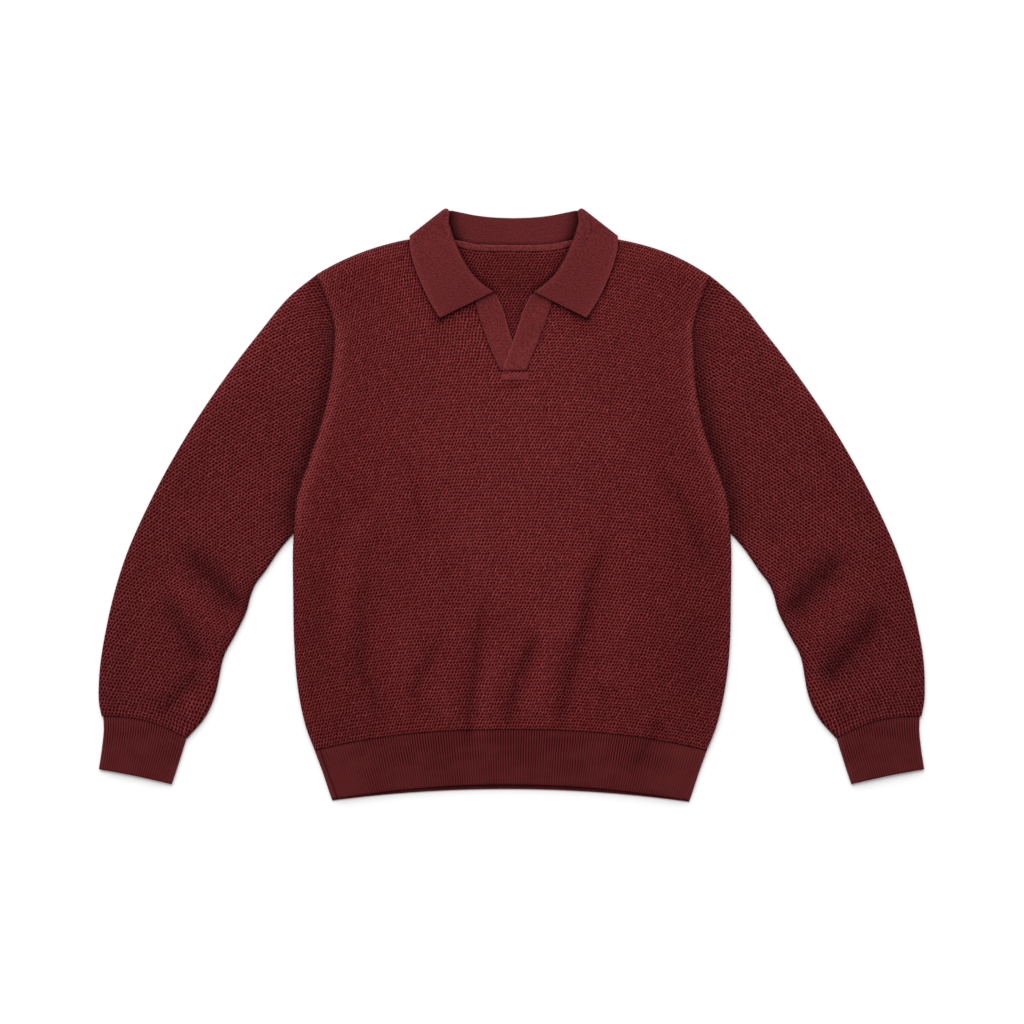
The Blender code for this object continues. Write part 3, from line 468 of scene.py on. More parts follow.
def tuck_stitches():
    """The tuck knit: staggered dark pits, drawn out along the lean of the yarn, and pale loops.

    Lean draws a pit out towards the next one up and to the right, and Width draws it out sideways.
    """
    group, given, end = node_group(
        "tuck stitches", {"Stitch": "Vector", "Size": "Float", "Lean": "Float", "Width": "Float"},
        ("Pit", "Crest", "Height"))
    drift = node(group, "ShaderNodeTexNoise", given["Stitch"], None, 0.42, 2.0, 0.6, out=1)
    drift = node(group, "ShaderNodeVectorMath", drift, (0.5, 0.5, 0.5), operation="SUBTRACT")
    u, v, _ = split(node(group, "ShaderNodeVectorMath", drift, (0.8, 0.7, 0.0), given["Stitch"],
                         operation="MULTIPLY_ADD"))
    row = v.math("ROUND")
    across = row.math("FLOORED_MODULO", 2.0) * 0.5 + u
    wale = across.math("ROUND")
    cell = node(group, "ShaderNodeCombineXYZ", wale, row)
    own_size = node(group, "ShaderNodeTexWhiteNoise", cell, noise_dimensions="2D") * 0.16 + 0.92
    astray = node(group, "ShaderNodeTexWhiteNoise", cell, out=1, noise_dimensions="2D")
    aside, ahead, _ = split(node(group, "ShaderNodeVectorMath", astray, (0.09, 0.09, 0.0),
                                 (-0.045, -0.045, 0.0), operation="MULTIPLY_ADD"))
    du = (across - wale + aside) / given["Width"]
    dv = v - row + ahead
    along = du * 0.447 + dv * 0.894
    square = du * du + dv * dv - along * along * given["Lean"]
    share = square.math("MAXIMUM", 0.0).math("SQRT") / (given["Size"] * own_size)
    pit = soft_step(share, 0.35, 1.0, 1.0, 0.0)
    rising = ((v * 0.5 + u) * (2.0 * math.tau)).math("COSINE")
    falling = ((v * -0.5 + u) * (2.0 * math.tau)).math("COSINE")
    pit.into(end["Pit"])
    soft_step(share, 0.95, 1.45).into(end["Crest"])
    ((rising + falling) * 0.12 - pit).into(end["Height"])
    return group


tuck_group = tuck_stitches()


def yarn_shades():
    """How a cotton yarn's colour varies: broad dye patches, and fine fuzz along the strands."""
    group, given, end = node_group("yarn shades", {"Fuzz": "Float", "Patches": "Float"}, ("Shade", "Fuzz"))
    place = node(group, "ShaderNodeTexCoord", out=3)
    broad = node(group, "ShaderNodeTexNoise", place, None, 9.0, 3.0, 0.55)
    fine = node(group, "ShaderNodeTexNoise", place, None, 620.0, 2.0, 0.7)
    ((broad - 0.5) * given["Patches"] + (fine - 0.5) * given["Fuzz"] + 1.0).into(end["Shade"])
    fine.into(end["Fuzz"])
    return group


yarn_group = yarn_shades()


def yarn_shader(name, sheen=0.07):
    """A material with a cotton yarn's soft sheen, and its tree and shader."""
    made = bpy.data.materials.new(name)
    made.use_nodes = True
    shader = made.node_tree.nodes["Principled BSDF"]
    for socket, value in {"Roughness": 0.95, "Specular IOR Level": 0.02, "Sheen Weight": sheen,
                          "Sheen Roughness": 0.35, "Sheen Tint": (1.0, 0.42, 0.42, 1.0)}.items():
        shader.inputs[socket].default_value = value
    return made, made.node_tree, shader


def knit_surface(shader, colour, shade, height, strength, depth):
    """Gives a knit its relief, and its colour times its tone: mostly painted shade where that is below 1,
    and painted highlights, a little whiter, where it is above.
    """
    tree = colour.tree
    tone = node(tree, "ShaderNodeAttribute", attribute_name="tone", out=2)
    shaded = node(tree, "ShaderNodeVectorMath", colour, shade, operation="MULTIPLY")
    # A tone above 1 is a painted highlight, which also adds a little white.
    painted_highlight_white = (tone - 1.0).math("MAXIMUM", 0.0) * 0.010
    toned = node(tree, "ShaderNodeVectorMath", shaded, tone, painted_highlight_white, operation="MULTIPLY_ADD")
    toned.into(shader.inputs["Base Color"])
    raised = node(tree, "ShaderNodeBump", strength, depth)
    height.into(raised.socket.node.inputs["Height"])
    raised.into(shader.inputs["Normal"])


def tuck_knit(name, lean, width):
    """The burgundy tuck knit: pale on the loops, with a painted sheen highlight on their crests, and dark
    in the pits, with painted shade in them.
    """
    made, tree, shader = yarn_shader(name)
    knit = grouped(tree, tuck_group, Stitch=node(tree, "ShaderNodeUVMap", uv_map="stitch"),
                   Size=0.40, Lean=lean, Width=width)
    yarn = grouped(tree, yarn_group, Fuzz=2.7, Patches=0.22)
    colour = mixed(knit["Crest"], mixed(knit["Pit"], KNIT_YARN, KNIT_PIT_SHADED), KNIT_LOOP_HIGHLIGHT)
    knit_surface(shader, colour, yarn["Shade"], yarn["Fuzz"] * 0.25 + knit["Height"], 0.9, 0.0006)
    return made


# The yarn in the pits, darkened by painted shade; the yarn itself; and the yarn on the loops' crests with a
# painted sheen highlight.
KNIT_PIT_SHADED = (0.0405, 0.0011, 0.0013, 1.0)
KNIT_YARN = (0.0965, 0.0095, 0.0107, 1.0)
KNIT_LOOP_HIGHLIGHT = (0.1600, 0.0360, 0.0398, 1.0)
body_knit = tuck_knit("burgundy_tuck_knit", 0.48, 0.94)


def back_row(cloth, v, every, under):
    """One row of the back panel, on its underside or on its upper side."""
    outer_x = course(v, 0.0, False)[1]
    xs = np.linspace(-outer_x, outer_x, 600)
    us = back_wale(xs, course(v, xs, False)[0])
    x, u, half = lattice(xs, us, every)
    y = course(v, x, False)[0]
    from_side = outer_x - np.abs(x)
    from_shoulder = shoulder_y(x) - y
    full = np.minimum(rounding(from_side), rounding(from_shoulder))
    free = rise(np.minimum(np.minimum(from_side, from_shoulder), y - hem_seam_y(x)), 0.0, SEWN)
    lift = back_lift(x, y)
    if under:
        # Underneath, the creases add painted shade and highlights to their relief.
        crease, tone = relief(x, y, BACK_CREASES)
        deep = pitted(half, v, 0.7) - crease * free
        return cloth.row(x, y, lift + 0.6 * WALL * (1.0 - full) + deep, u, v, 1.0 + 1.5 * tone, free)
    # The upper side, seen in the neck, is painted a little darker, with painted shadow beside the collar's
    # roll line.
    tone = 0.87 - 0.50 * near(distance_to(np.abs(x), y, ROLL_LINE), 5.0)
    return cloth.row(x, y, lift + WALL, u, v, tone, free)


def add_back():
    """The back panel: close rows of stitches underneath, and wider ones on its upper side."""
    cloth = Cloth()
    foot, neck, top = 0, 2 * NOTCH_COURSE, 2 * TOP_COURSE + 1
    under = [back_row(cloth, i / 2.0, 1, True) for i in range(top)]
    steps = list(range(foot, neck, 6)) + list(range(neck, top, 2))
    over = [back_row(cloth, i / 2.0, 6 if i < neck else 2, False) for i in steps]
    cloth.wall(under, range(top), over, steps)
    return cloth.piece("back_panel", body_knit)


back_panel = add_back()
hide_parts("back")


# Front panel. The same tuck knit as the back, laid on it with a little air between, with the V
# for the placket cut out. Soft creases run down it from the chest and across the hem, where it
# was smoothed out by hand.

FRONT_PUFF = 4.6

BODY_CREASES = [
    (9.5, -3.8, (123, -12), (112, -52), (99, -91), (84, -164), (69, -209), (61, -267), (55, -295)),
    (10.0, -4.6, (29, -140), (24, -176), (10, -214), (0, -246), (-8, -280)),
    (8.5, -3.4, (-29, -101), (-36, -134), (-43, -194), (-52, -270), (-60, -300)),
    (7.5, -2.4, (-80, -146), (-105, -200), (-116, -225), (-106, -266)),
    (9.5, -2.2, (-165, -67), (-178, -106), (-183, -158), (-180, -209), (-163, -242), (-151, -270)),
    (9.0, -1.5, (-133, 73), (-121, 36), (-110, -12), (-103, -49)),
    (8.0, -1.0, (-78, -61), (-75, -97), (-75, -130)),
    (12.0, -2.2, (174, 58), (190, 30), (210, -1), (225, -33), (236, -85)),
    (8.5, -2.7, (190, -256), (174, -280), (156, -306), (146, -328)),
    (7.5, -1.2, (115, -213), (114, -237), (112, -267)),
    (5.0, -0.8, (162, -113), (184, -104), (205, -100)),
    (18.0, -1.0, (217, -115), (225, -164), (217, -237)),
    (15.0, -0.9, (-235, -67), (-240, -115), (-235, -188)),
    (11.0, 1.8, (-145, 16), (-182, -30), (-198, -67), (-200, -140), (-207, -194)),
    (9.0, 1.7, (-18, -164), (-29, -225), (-37, -270), (-43, -310)),
    (12.0, 1.4, (44, -115), (38, -176), (26, -237), (16, -270)),
    (15.0, 1.0, (-46, 0), (-51, -30), (-53, -60)),
    (13.0, 1.1, (-136, -115), (-133, -188), (-140, -237)),
    (8.5, 1.2, (-80, -188), (-82, -225), (-76, -270)),
    (9.5, 1.1, (190, 61), (217, 18), (236, -30)),
    (10.0, 0.9, (90, -50), (76, -115), (62, -176)),
    (14.0, 1.0, (140, -100), (128, -170), (122, -230)),
]


def front_under(x, y):
    """The underside of the front panel, and of what is sewn into its edges."""
    lifted = rise(leaf_clearance(x, y), -46.0, 42.0)
    inside = rise(side_x(y) - np.abs(x), -3.0, 24.0) * rise(shoulder_y(x) - y, -2.0, 22.0)
    inside = inside * (0.45 + 0.55 * rise(y - hem_seam_y(x), -10.0, 50.0))
    inside = inside * (1.0 - 0.75 * lifted)
    puff = np.maximum((FRONT_PUFF + relief(x, y, BODY_CREASES)[0]) * inside, 0.0)
    return WALL + LAYER_GAP + puff + (COLLAR_LIFT + 0.7) * lifted


LEAF_LOWER_EDGE = [(27.0, 258.2), (88.7, 226.6)]
LEAF_OUTER_EDGE = [(88.7, 226.6), (93.6, 233.6), (100.6, 245.0), (110.1, 263.8), (119.5, 287.0),
                   (126.0, 316.0)]
notch_line = [(float(notch_x(y)), y) for y in (162.0, 192.0, 214.0, 237.0, 263.0)]


def front_painted_light(x, y):
    """The painted light on the front's face: painted shade in creases, under the collar leaf and towards
    the sides and bottom, painted highlights down the middle and along its sides and shoulders, and dark
    seam lines.
    """
    from_side = side_x(y) - np.abs(x)
    from_hem = y - hem_seam_y(x)
    armhole = rise(y, -60.0, 60.0) * (1.0 - 0.5 * rise(y, 200.0, 60.0))
    outer = rise(np.abs(x), 130.0, 70.0)
    # Painted crease shade and highlights; then, over the whole front, paler down the middle and towards the
    # top, and darker towards the sides and the bottom.
    tone = 1.0 + relief(x, y, BODY_CREASES)[1]
    tone = tone + 0.11 * near(x, 115.0) - 0.08 * rise(np.abs(x), 130.0, 90.0)
    tone = tone + 0.05 * rise(y, -60.0, 200.0) - 0.06 * rise(-y, 60.0, 160.0)
    # Painted highlights along the sides, armholes and shoulders, with dark lines at the armhole and hem
    # seams.
    tone = tone + (0.12 + 0.28 * armhole) * near(from_side - 5.0, 7.0)
    tone = tone + 0.08 * armhole * near(from_side - 18.0, 16.0) - 0.45 * armhole * near(from_side, 1.3)
    tone = tone + 0.20 * outer * near(shoulder_y(x) - y, 9.0) - 0.20 * near(from_hem, 1.3)
    # Painted shade just below the placket's foot bar.
    tone = tone - 0.24 * near(x + 4.0, 17.0) * near(y - 144.0, 4.5)
    neck = y > 140.0
    if np.any(neck):
        across = np.abs(x[neck])
        below = distance_to(across, y[neck], LEAF_LOWER_EDGE)
        beside = distance_to(across, y[neck], LEAF_OUTER_EDGE)
        from_notch = distance_to(across, y[neck], notch_line)
        # Painted shadow below and beside the collar leaf, and painted shade along the placket's seams.
        shade = np.maximum(0.66 * near(below, 5.0) + 0.28 * near(below, 12.0),
                           0.55 * near(beside, 2.8) + 0.14 * near(beside, 8.0))
        tone[neck] -= shade + 0.35 * near(from_notch, 1.6)
    return np.clip(tone, 0.18, 1.6)


def front_face(x, y):
    """The face of the front panel, away from its edges."""
    return front_under(x, y) + WALL


def front_wale(x, y):
    """The wale that runs through a point of the front: beside the V they run along its edges."""
    across = np.abs(x)
    gather = (265.6 / side_x(np.minimum(y, -115.0))) ** 0.7
    lean = 0.4 * 14.0 * np.logaddexp(0.0, (y - 172.0) / 14.0)
    lean = lean * np.tanh(across / 28.0) * (1.0 - 0.4 * rise(across, 60.0, 160.0))
    return np.sign(x) * (across * gather - lean) / WALE


def front_row(cloth, v, every, face, side=0):
    """One row of the front panel, on its face or underneath: whole, or on one side of the V."""
    _, outer_x, inner_x = course(v, 0.0, True)
    inner_x = inner_x if v >= NOTCH_COURSE else 0.0
    low, high = {0: (-outer_x, outer_x), 1: (inner_x, outer_x), -1: (-outer_x, -inner_x)}[side]
    xs = np.linspace(low, high, 600)
    us = front_wale(xs, course(v, xs, True)[0])
    extra = (-inner_x, inner_x) if side == 0 and v == NOTCH_COURSE else ()
    x, u, half = lattice(xs, us, every, extra)
    y = course(v, x, True)[0]
    z = front_under(x, y)
    from_side = outer_x - np.abs(x)
    from_shoulder = shoulder_y(x) - y
    from_hem = y - hem_seam_y(x)
    from_notch = np.abs(x) - inner_x + (v < NOTCH_COURSE) * 99.0
    if face:
        full = np.minimum(rounding(from_side), rounding(from_shoulder))
        seam = 0.75 + 0.25 * rounding(from_hem, 3.0)
        z = z + WALL * np.minimum(0.4 + 0.6 * full, seam) - pitted(half, v, 0.6)
    free = rise(np.minimum.reduce([from_side, from_notch, from_shoulder, from_hem]), 0.0, SEWN)
    return cloth.row(x, y, z, u, v, front_painted_light(x, y) if face else 1.0, free)


def add_front():
    """The front panel: close rows of stitches on its face, and wider ones underneath."""
    cloth = Cloth()
    neck, top = 2 * NOTCH_COURSE, 2 * TOP_COURSE
    foot_half = course(NOTCH_COURSE, 0.0, True)[2]
    foot_wale = float(front_wale(foot_half, course(NOTCH_COURSE, foot_half, True)[0]))
    slack = 0.05
    edges = {}
    for face, every, step in ((True, 1, 1), (False, 12, 10)):
        low = list(range(0, neck, step)) + [neck]
        high = list(range(neck, top, step)) + [top]
        whole = [front_row(cloth, i / 2.0, every, face) for i in low]
        left = [[p for p in whole[-1] if p[0] > foot_wale - slack]]
        right = [[p for p in whole[-1] if p[0] < slack - foot_wale]]
        left += [front_row(cloth, i / 2.0, every, face, 1) for i in high[1:]]
        right += [front_row(cloth, i / 2.0, every, face, -1) for i in high[1:]]
        foot = [p for p in whole[-1] if abs(p[0]) < foot_wale + slack]
        edges[face] = [whole[0], left[-1], right[-1], foot]
        for rows, keys in ((whole, low), (left, high), (right, high)):
            cloth.patch(rows)
            edges[face] += [edge(rows, keys, 0), edge(rows, keys, -1)]
    for face_edge, under_edge in zip(edges[True], edges[False]):
        cloth.join(face_edge, under_edge)
    return cloth.piece("front_panel", body_knit)


front_panel = add_front()
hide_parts("front")


# Sleeves. Each is one piece of the tuck knit, knitted from the cuff up and sewn into a tube along
# the underarm, then laid flat with its fold outwards. Its stitches run up along the fold, and
# broad creases cross it from the underarm at the elbow and above the cuff.

SLEEVE_PUFF = 4.4
SLEEVE_COURSE, SLEEVE_WALE = 4.3, 4.15
CUFF_SEAM_BOW = 8.0
ARMHOLE_GAP = -0.4
MIDDLE = WALL + LAYER_GAP / 2.0

SLEEVE_OUTER = [(237.2, 279.6), (269.3, 254.1), (306.3, 210.3), (350.7, 151.9), (398.7, 79.0),
                (438.8, 6.1), (471.0, -66.9), (491.1, -139.8), (501.4, -212.7), (500.8, -241.9),
                (497.8, -256.5)]
SLEEVE_INNER = [(265.1, -34.0), (280.8, -52.3), (300.9, -81.4), (311.8, -96.0), (317.9, -110.6),
                (321.5, -125.2), (334.9, -154.4), (350.1, -183.6), (356.2, -212.7), (359.2, -227.3),
                (371.4, -256.5), (393.9, -283.2)]

SLEEVE_CREASES = [
    (18.0, -4.7, (406, -49), (382, -82), (357, -107), (338, -126), (322, -134)),
    (18.0, -4.7, (458, -115), (436, -143), (412, -173), (397, -191), (380, -210), (372, -222)),
    (7.0, -1.4, (446, -218), (444, -237), (442, -258)),
    (8.0, -1.4, (398, -238), (402, -252), (409, -272)),
    (10.0, -1.0, (304, -16), (312, -32), (320, -50)),
    (18.0, 1.5, (425, -85), (400, -120), (372, -150), (350, -165)),
    (9.0, 1.0, (324, -88), (334, -106), (338, -118)),
    (17.0, -4.6, (-406, -43), (-376, -76), (-348, -106), (-324, -122), (-316, -131)),
    (14.0, -3.4, (-427, -106), (-406, -140), (-390, -167), (-379, -188), (-376, -200)),
    (11.0, -3.0, (-377, -196), (-400, -225), (-418, -243), (-428, -262)),
    (14.0, 1.5, (-415, -85), (-385, -125), (-366, -150), (-352, -172)),
    (10.0, 1.2, (-322, -80), (-332, -100), (-336, -112)),
    (10.0, 1.3, (-372, -228), (-384, -244), (-394, -262)),
]


def plan_curve(points):
    """A plan curve through points, by the share of its length from 0 to 1, and its length."""
    points = np.array(points, float)
    steps = np.hypot(*np.diff(points, axis=0).T)
    at = spline(np.concatenate(([0.0], np.cumsum(steps))) / steps.sum(), points)
    close = at(np.linspace(0.0, 1.0, 400))
    length = np.concatenate(([0.0], np.cumsum(np.hypot(*np.diff(close, axis=0).T))))
    even = at(np.interp(np.linspace(0.0, length[-1], 400), length, np.linspace(0.0, 1.0, 400)))
    return spline(np.linspace(0.0, 1.0, 400), even), float(length[-1])


sleeve_fold, fold_length = plan_curve(SLEEVE_OUTER)
underarm = plan_curve(SLEEVE_INNER)[0]
armhole_line = [(float(side_x(y)) + ARMHOLE_GAP, y) for y in np.linspace(SHOULDER_TIP_Y, -34.0, 40)]
underarm_line = [tuple(underarm(t)) for t in np.linspace(0.0, 1.0, 60)]
SLEEVE_COURSES = int(fold_length / SLEEVE_COURSE)


def sleeve_course(v):
    """Where course v lies: its start on the fold, its direction, length, bow and what it meets."""
    t = 1.0 - v / SLEEVE_COURSES
    start = sleeve_fold(t)
    ahead = sleeve_fold(min(t + 0.01, 1.0)) - sleeve_fold(max(t - 0.01, 0.0))
    ahead = ahead / np.hypot(*ahead)
    cuff = np.array(SLEEVE_INNER[-1]) - np.array(SLEEVE_OUTER[-1])
    near_cuff = float(rise(130.0 - (1.0 - t) * fold_length, 0.0, 130.0))
    across = np.array((ahead[1], -ahead[0])) * (1.0 - near_cuff) + cuff / np.hypot(*cuff) * near_cuff
    across = across / np.hypot(*across)
    length = math.inf
    meets_armhole = False
    for line, armhole in ((armhole_line, True), (underarm_line, False)):
        for (ax, ay), (bx, by) in zip(line, line[1:]):
            along = np.array((bx - ax, by - ay))
            turn = across[0] * along[1] - across[1] * along[0]
            if abs(turn) < 1e-9:
                continue
            away = np.array((ax, ay)) - start
            far = (away[0] * along[1] - away[1] * along[0]) / turn
            share = (away[0] * across[1] - away[1] * across[0]) / turn
            if -1e-6 <= share <= 1.0 + 1e-6 and 0.0 <= far < length:
                length = far
                meets_armhole = armhole
    if v == 0:
        length = float(np.hypot(*cuff))
        meets_armhole = False
    return start, across, length, CUFF_SEAM_BOW * near_cuff ** 3, meets_armhole


def sleeve_painted_light(x, y, side, d, from_armhole, from_underarm, from_cuff):
    """The painted light on a sleeve's face: painted shade beside the armhole, in the creases and at the
    underarm edge, painted highlights on its fold and just inside the underarm, and dark seam lines.
    """
    beside = 0.28 + 0.24 * rise(-y, -230.0, 120.0)
    high = rise(y, 40.0, 130.0)
    tone = 0.90 + relief(side * x, y, SLEEVE_CREASES)[1] - 0.05 * rise(-y, 60.0, 160.0)
    # Painted shade beside the armhole, and a dark line at its seam.
    tone = tone - beside * near(from_armhole, 17.0) - 0.30 * near(from_armhole, 1.8)
    # A painted highlight along the fold, with broad painted shade beside it low down and a faint highlight
    # high up.
    tone = tone + (0.14 + 0.12 * high) * near(d, 6.0) - (0.10 - 0.14 * high) * near(d, 34.0)
    # A painted highlight just inside the underarm edge, and painted shade at the edge itself.
    tone = tone + 0.12 * near(from_underarm - 11.0, 6.0) - 0.20 * near(from_underarm, 3.0)
    tone = tone - 0.25 * near(from_cuff, 1.8)
    return np.clip(tone, 0.4, 1.6)


def sleeve_row(cloth, v, laid, side, every, surface):
    """One row of a sleeve, from the fold to the underarm, on one of its four surfaces."""
    start, across, length, bow, meets_armhole = laid
    inset = 0.0 if every == 1 else WALL
    end = length - (0.6 if meets_armhole and every > 1 else inset)
    ds = np.linspace(inset, end, 200)
    d, u, half = lattice(ds, ds / SLEEVE_WALE, every)
    curve = bow * np.sin(math.pi * d / length)
    x = start[0] + across[0] * d + across[1] * curve
    y = start[1] + across[1] * d - across[0] * curve
    from_armhole = distance_to(x, y, armhole_line)
    from_underarm = distance_to(x, y, underarm_line)
    from_cuff = v * SLEEVE_COURSE
    from_side = np.minimum(d, from_underarm)
    full = np.minimum(rounding(d, 6.0), rounding(from_underarm, 6.0))
    full = np.minimum(full, 0.3 + 0.7 * rise(from_armhole, 0.0, 13.0))
    full = np.minimum(full, 0.72 + 0.28 * rise(from_cuff, 0.0, 4.0))
    inside = rise(from_side, -3.0, 24.0) * rise(from_armhole, 2.0, 40.0)
    inside = inside * (0.55 + 0.45 * rise(from_cuff, 0.0, 40.0))
    puff = np.maximum((SLEEVE_PUFF + relief(side * x, y, SLEEVE_CREASES)[0]) * inside, 0.0)
    face = MIDDLE + (WALL + LAYER_GAP / 2.0 + puff) * full
    rest = MIDDLE * (1.0 - full)
    deep = pitted(half, v, 0.6)
    crease, tone = relief(side * x, y - 16.0, SLEEVE_CREASES)
    z = {"face": face - deep,
         "rest": rest + 0.9 * deep + np.clip(-0.35 * crease, 0.0, 1.4) * inside * full,
         "ceiling": np.maximum(face - WALL, MIDDLE + 0.1),
         "lining": np.minimum(rest + WALL, MIDDLE - 0.1)}[surface]
    # Off the face, the tone is the creases' painted shade and highlights; on the face it is its painted
    # light.
    tone = 0.95 + tone
    if surface == "face":
        tone = sleeve_painted_light(x, y, side, d, from_armhole, from_underarm, from_cuff)
    free = np.minimum(np.minimum(from_side, from_armhole), from_cuff)
    return cloth.row(side * x, y, z, u, v, tone, rise(free, 0.0, SEWN))


def add_sleeve(name, side):
    """A sleeve as a flat tube with a wall, open at the armhole and at the cuff."""
    cloth = Cloth()
    laid = {i: sleeve_course(i / 2.0) for i in range(2 * SLEEVE_COURSES)}
    for less in (0.5, 0.1):
        laid[2 * SLEEVE_COURSES - less] = sleeve_course(SLEEVE_COURSES - less / 2.0)
    every_row = [i for i in laid if laid[i][2] > 0.3]
    long_rows = [i for i in every_row if laid[i][2] > 9.0]
    at_armhole = [i for i in every_row if laid[i][4]]
    first = at_armhole[0]
    steps = sorted(set(long_rows[::10] + [long_rows[-1], first]))
    below = [i for i in steps if i < first]
    above = [i for i in steps if i >= first]
    made = {}
    for surface, every, kept in (("face", 1, every_row), ("rest", 1, every_row),
                                 ("ceiling", 8, steps), ("lining", 8, steps)):
        made[surface] = {i: sleeve_row(cloth, i / 2.0, laid[i], side, every, surface) for i in kept}
        cloth.patch([made[surface][i] for i in kept])

    def ends(surface, kept, end):
        return edge([made[surface][i] for i in kept], kept, end)

    for outer, inner in (("face", "ceiling"), ("rest", "lining")):
        cloth.join(made[outer][every_row[0]], made[inner][steps[0]])
        cloth.join(made[outer][every_row[-1]], made[inner][steps[-1]])
        cloth.join(ends(outer, at_armhole, -1), ends(inner, above, -1))
    cloth.join(ends("ceiling", steps, 0), ends("lining", steps, 0))
    cloth.join(ends("ceiling", below, -1), ends("lining", below, -1))
    return cloth.piece(name, sleeve_knit)


sleeve_knit = tuck_knit("burgundy_sleeve_tuck_knit", 0.45, 0.88)
for name, side in (("sleeve_left", 1), ("sleeve_right", -1)):
    sleeve = add_sleeve(name + "_tube", side)
    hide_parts(name)


# Hem. Two bands of ribbed knit, one on each panel, linked to it along an arched seam. The front band
# lies a little higher than the back one, whose edge shows below it as a dark line of painted shade.

RIB_WALL = 2.3
SEAM = 0.3
HEM_FOOT_HALF = 217.0
HEM_RIBS, HEM_COURSES = 150, 55.0
EDGE_STEPS = (0.4, 0.9, 1.6)


def rib_stitches():
    """Rib knit: a dark furrow between the ribs, which is partly painted shade, and small stitches along
    each rib.
    """
    group, given, end = node_group("rib stitches", {"Stitch": "Vector"}, ("Furrow", "Height"))
    u, v, _ = split(given["Stitch"])
    furrow = soft_step((u - u.math("ROUND")).math("ABSOLUTE"), 0.05, 0.34, 1.0, 0.0)
    rib = (u.math("FRACT") - 0.5).math("ABSOLUTE")
    loop = ((rib * -1.4 + v) * math.tau).math("SINE")
    patchy = soft_step(node(group, "ShaderNodeTexNoise", given["Stitch"], None, 0.07, 3.0, 0.6), 0.36, 0.62)
    # How strong the furrows' painted shade is: strongest by the seam, fainter towards the foot, and in
    # patches.
    furrow_shade_strength = (soft_step(v, 8.0, 46.0) * -0.5 + 1.25) * (patchy * 0.6 + 0.5)
    (furrow * furrow_shade_strength).into(end["Furrow"])
    (loop * 0.3 - furrow).into(end["Height"])
    return group


rib_group = rib_stitches()


def rib_knit(name, dark, light):
    """The ribbed knit of hem and cuffs, with the painted shade in its furrows fainter towards the sides of
    the hem.
    """
    made, tree, shader = yarn_shader(name)
    knit = grouped(tree, rib_group, Stitch=node(tree, "ShaderNodeUVMap", uv_map="stitch"))
    yarn = grouped(tree, yarn_group, Fuzz=0.45, Patches=0.35)
    across = split(node(tree, "ShaderNodeTexCoord", out=3))[0].math("ABSOLUTE")
    kept = soft_step(across, 0.16, 0.21) * -0.6 + soft_step(across, 0.25, 0.30) * 0.5 + 1.0
    colour = mixed(knit["Furrow"] * kept, light, dark)
    knit_surface(shader, colour, yarn["Shade"], yarn["Fuzz"] * 0.25 + knit["Height"], 0.7, 0.0005)
    return made


# Dark for the furrows, partly painted shade, and light for the ribs.
hem_rib = rib_knit("burgundy_rib_knit", (0.036, 0.0024, 0.0028, 1.0), (0.096, 0.0142, 0.0154, 1.0))


def rib_height(u):
    """The rounded section of the ribs, from 0 in a furrow to 1 on a rib."""
    return 1.0 - np.abs(2.0 * (u - np.floor(u)) - 1.0) ** 2.2


def hem_row(cloth, s, foot_y, foot_drop, surface, fine):
    """One row of a hem band, s from its seam to its foot, on one of its four surfaces."""
    half = HEM_TOP_HALF + (HEM_FOOT_HALF - HEM_TOP_HALF) * s
    u = np.linspace(0.0, HEM_RIBS, HEM_RIBS * 6 + 1 if fine else HEM_RIBS // 3 + 1)
    if fine:
        sides = np.array(EDGE_STEPS) / (2.0 * half) * HEM_RIBS
        u = np.unique(np.concatenate((u, sides, HEM_RIBS - sides)))
    r = 2.0 * u / HEM_RIBS - 1.0
    top = hem_seam_y(r * HEM_TOP_HALF) - SEAM
    depth = top - (foot_y - foot_drop * r * r)
    x = r * half + 0.35 * np.sin(u * 0.9 + s * 5.0) * np.sin(math.pi * s)
    y = top - depth * s
    inside = (1.0 - np.abs(r)) * half
    full = np.minimum(rounding(inside), rounding(depth * (1.0 - s), 2.0))
    if surface == "back_face":
        # The back band's face is painted dark, as shade under the front band, and paler only at its lip.
        painted_shade_to_lip = 0.35 + 0.50 * float(rise(s, 0.93, 0.05))
        return cloth.row(x, y, RIB_WALL - 0.6 * (1.0 - full), u, s * HEM_COURSES, painted_shade_to_lip)
    if surface == "back_rest":
        ribs = 0.55 * rib_height(u) * rise(inside, 2.0, 4.0)
        return cloth.row(x, y, 0.6 * (1.0 - full) + 0.55 - ribs, u, s * HEM_COURSES)
    crease, tone = relief(x, y, BODY_CREASES)
    soft = (FRONT_PUFF + crease * (1.0 - 0.55 * s)) * (0.45 + 0.1 * s) * rise(inside, -3.0, 24.0)
    low = RIB_WALL + LAYER_GAP + np.maximum(soft, 0.0)
    if surface == "front_rest":
        return cloth.row(x, y, low, u, s * HEM_COURSES)
    strength = (1.0 - 0.45 * s) * (0.55 + 0.45 * rise(inside, 10.0, 90.0))
    ribs = strength * rib_height(u) * rise(inside, 2.0, 4.0)
    body = RIB_WALL * (0.4 + 0.6 * full) * (0.72 + 0.28 * rise(depth * s, 0.0, 3.0))
    side_seam = near(inside - 6.3, 1.2) * (x < 0.0)
    # Painted crease shade and highlights, a little darker towards the foot, a dark line at the seam, and a
    # painted highlight along the band's ends.
    tone = 1.02 + tone - 0.04 * s - 0.24 * near(depth * s, 1.3) + 0.10 * near(inside - 3.0, 3.0)
    z = low + body + (ribs - 0.3) * full - 0.6 * side_seam
    return cloth.row(x, y, z, u, s * HEM_COURSES, np.clip(tone - 0.55 * side_seam, 0.3, 1.6))


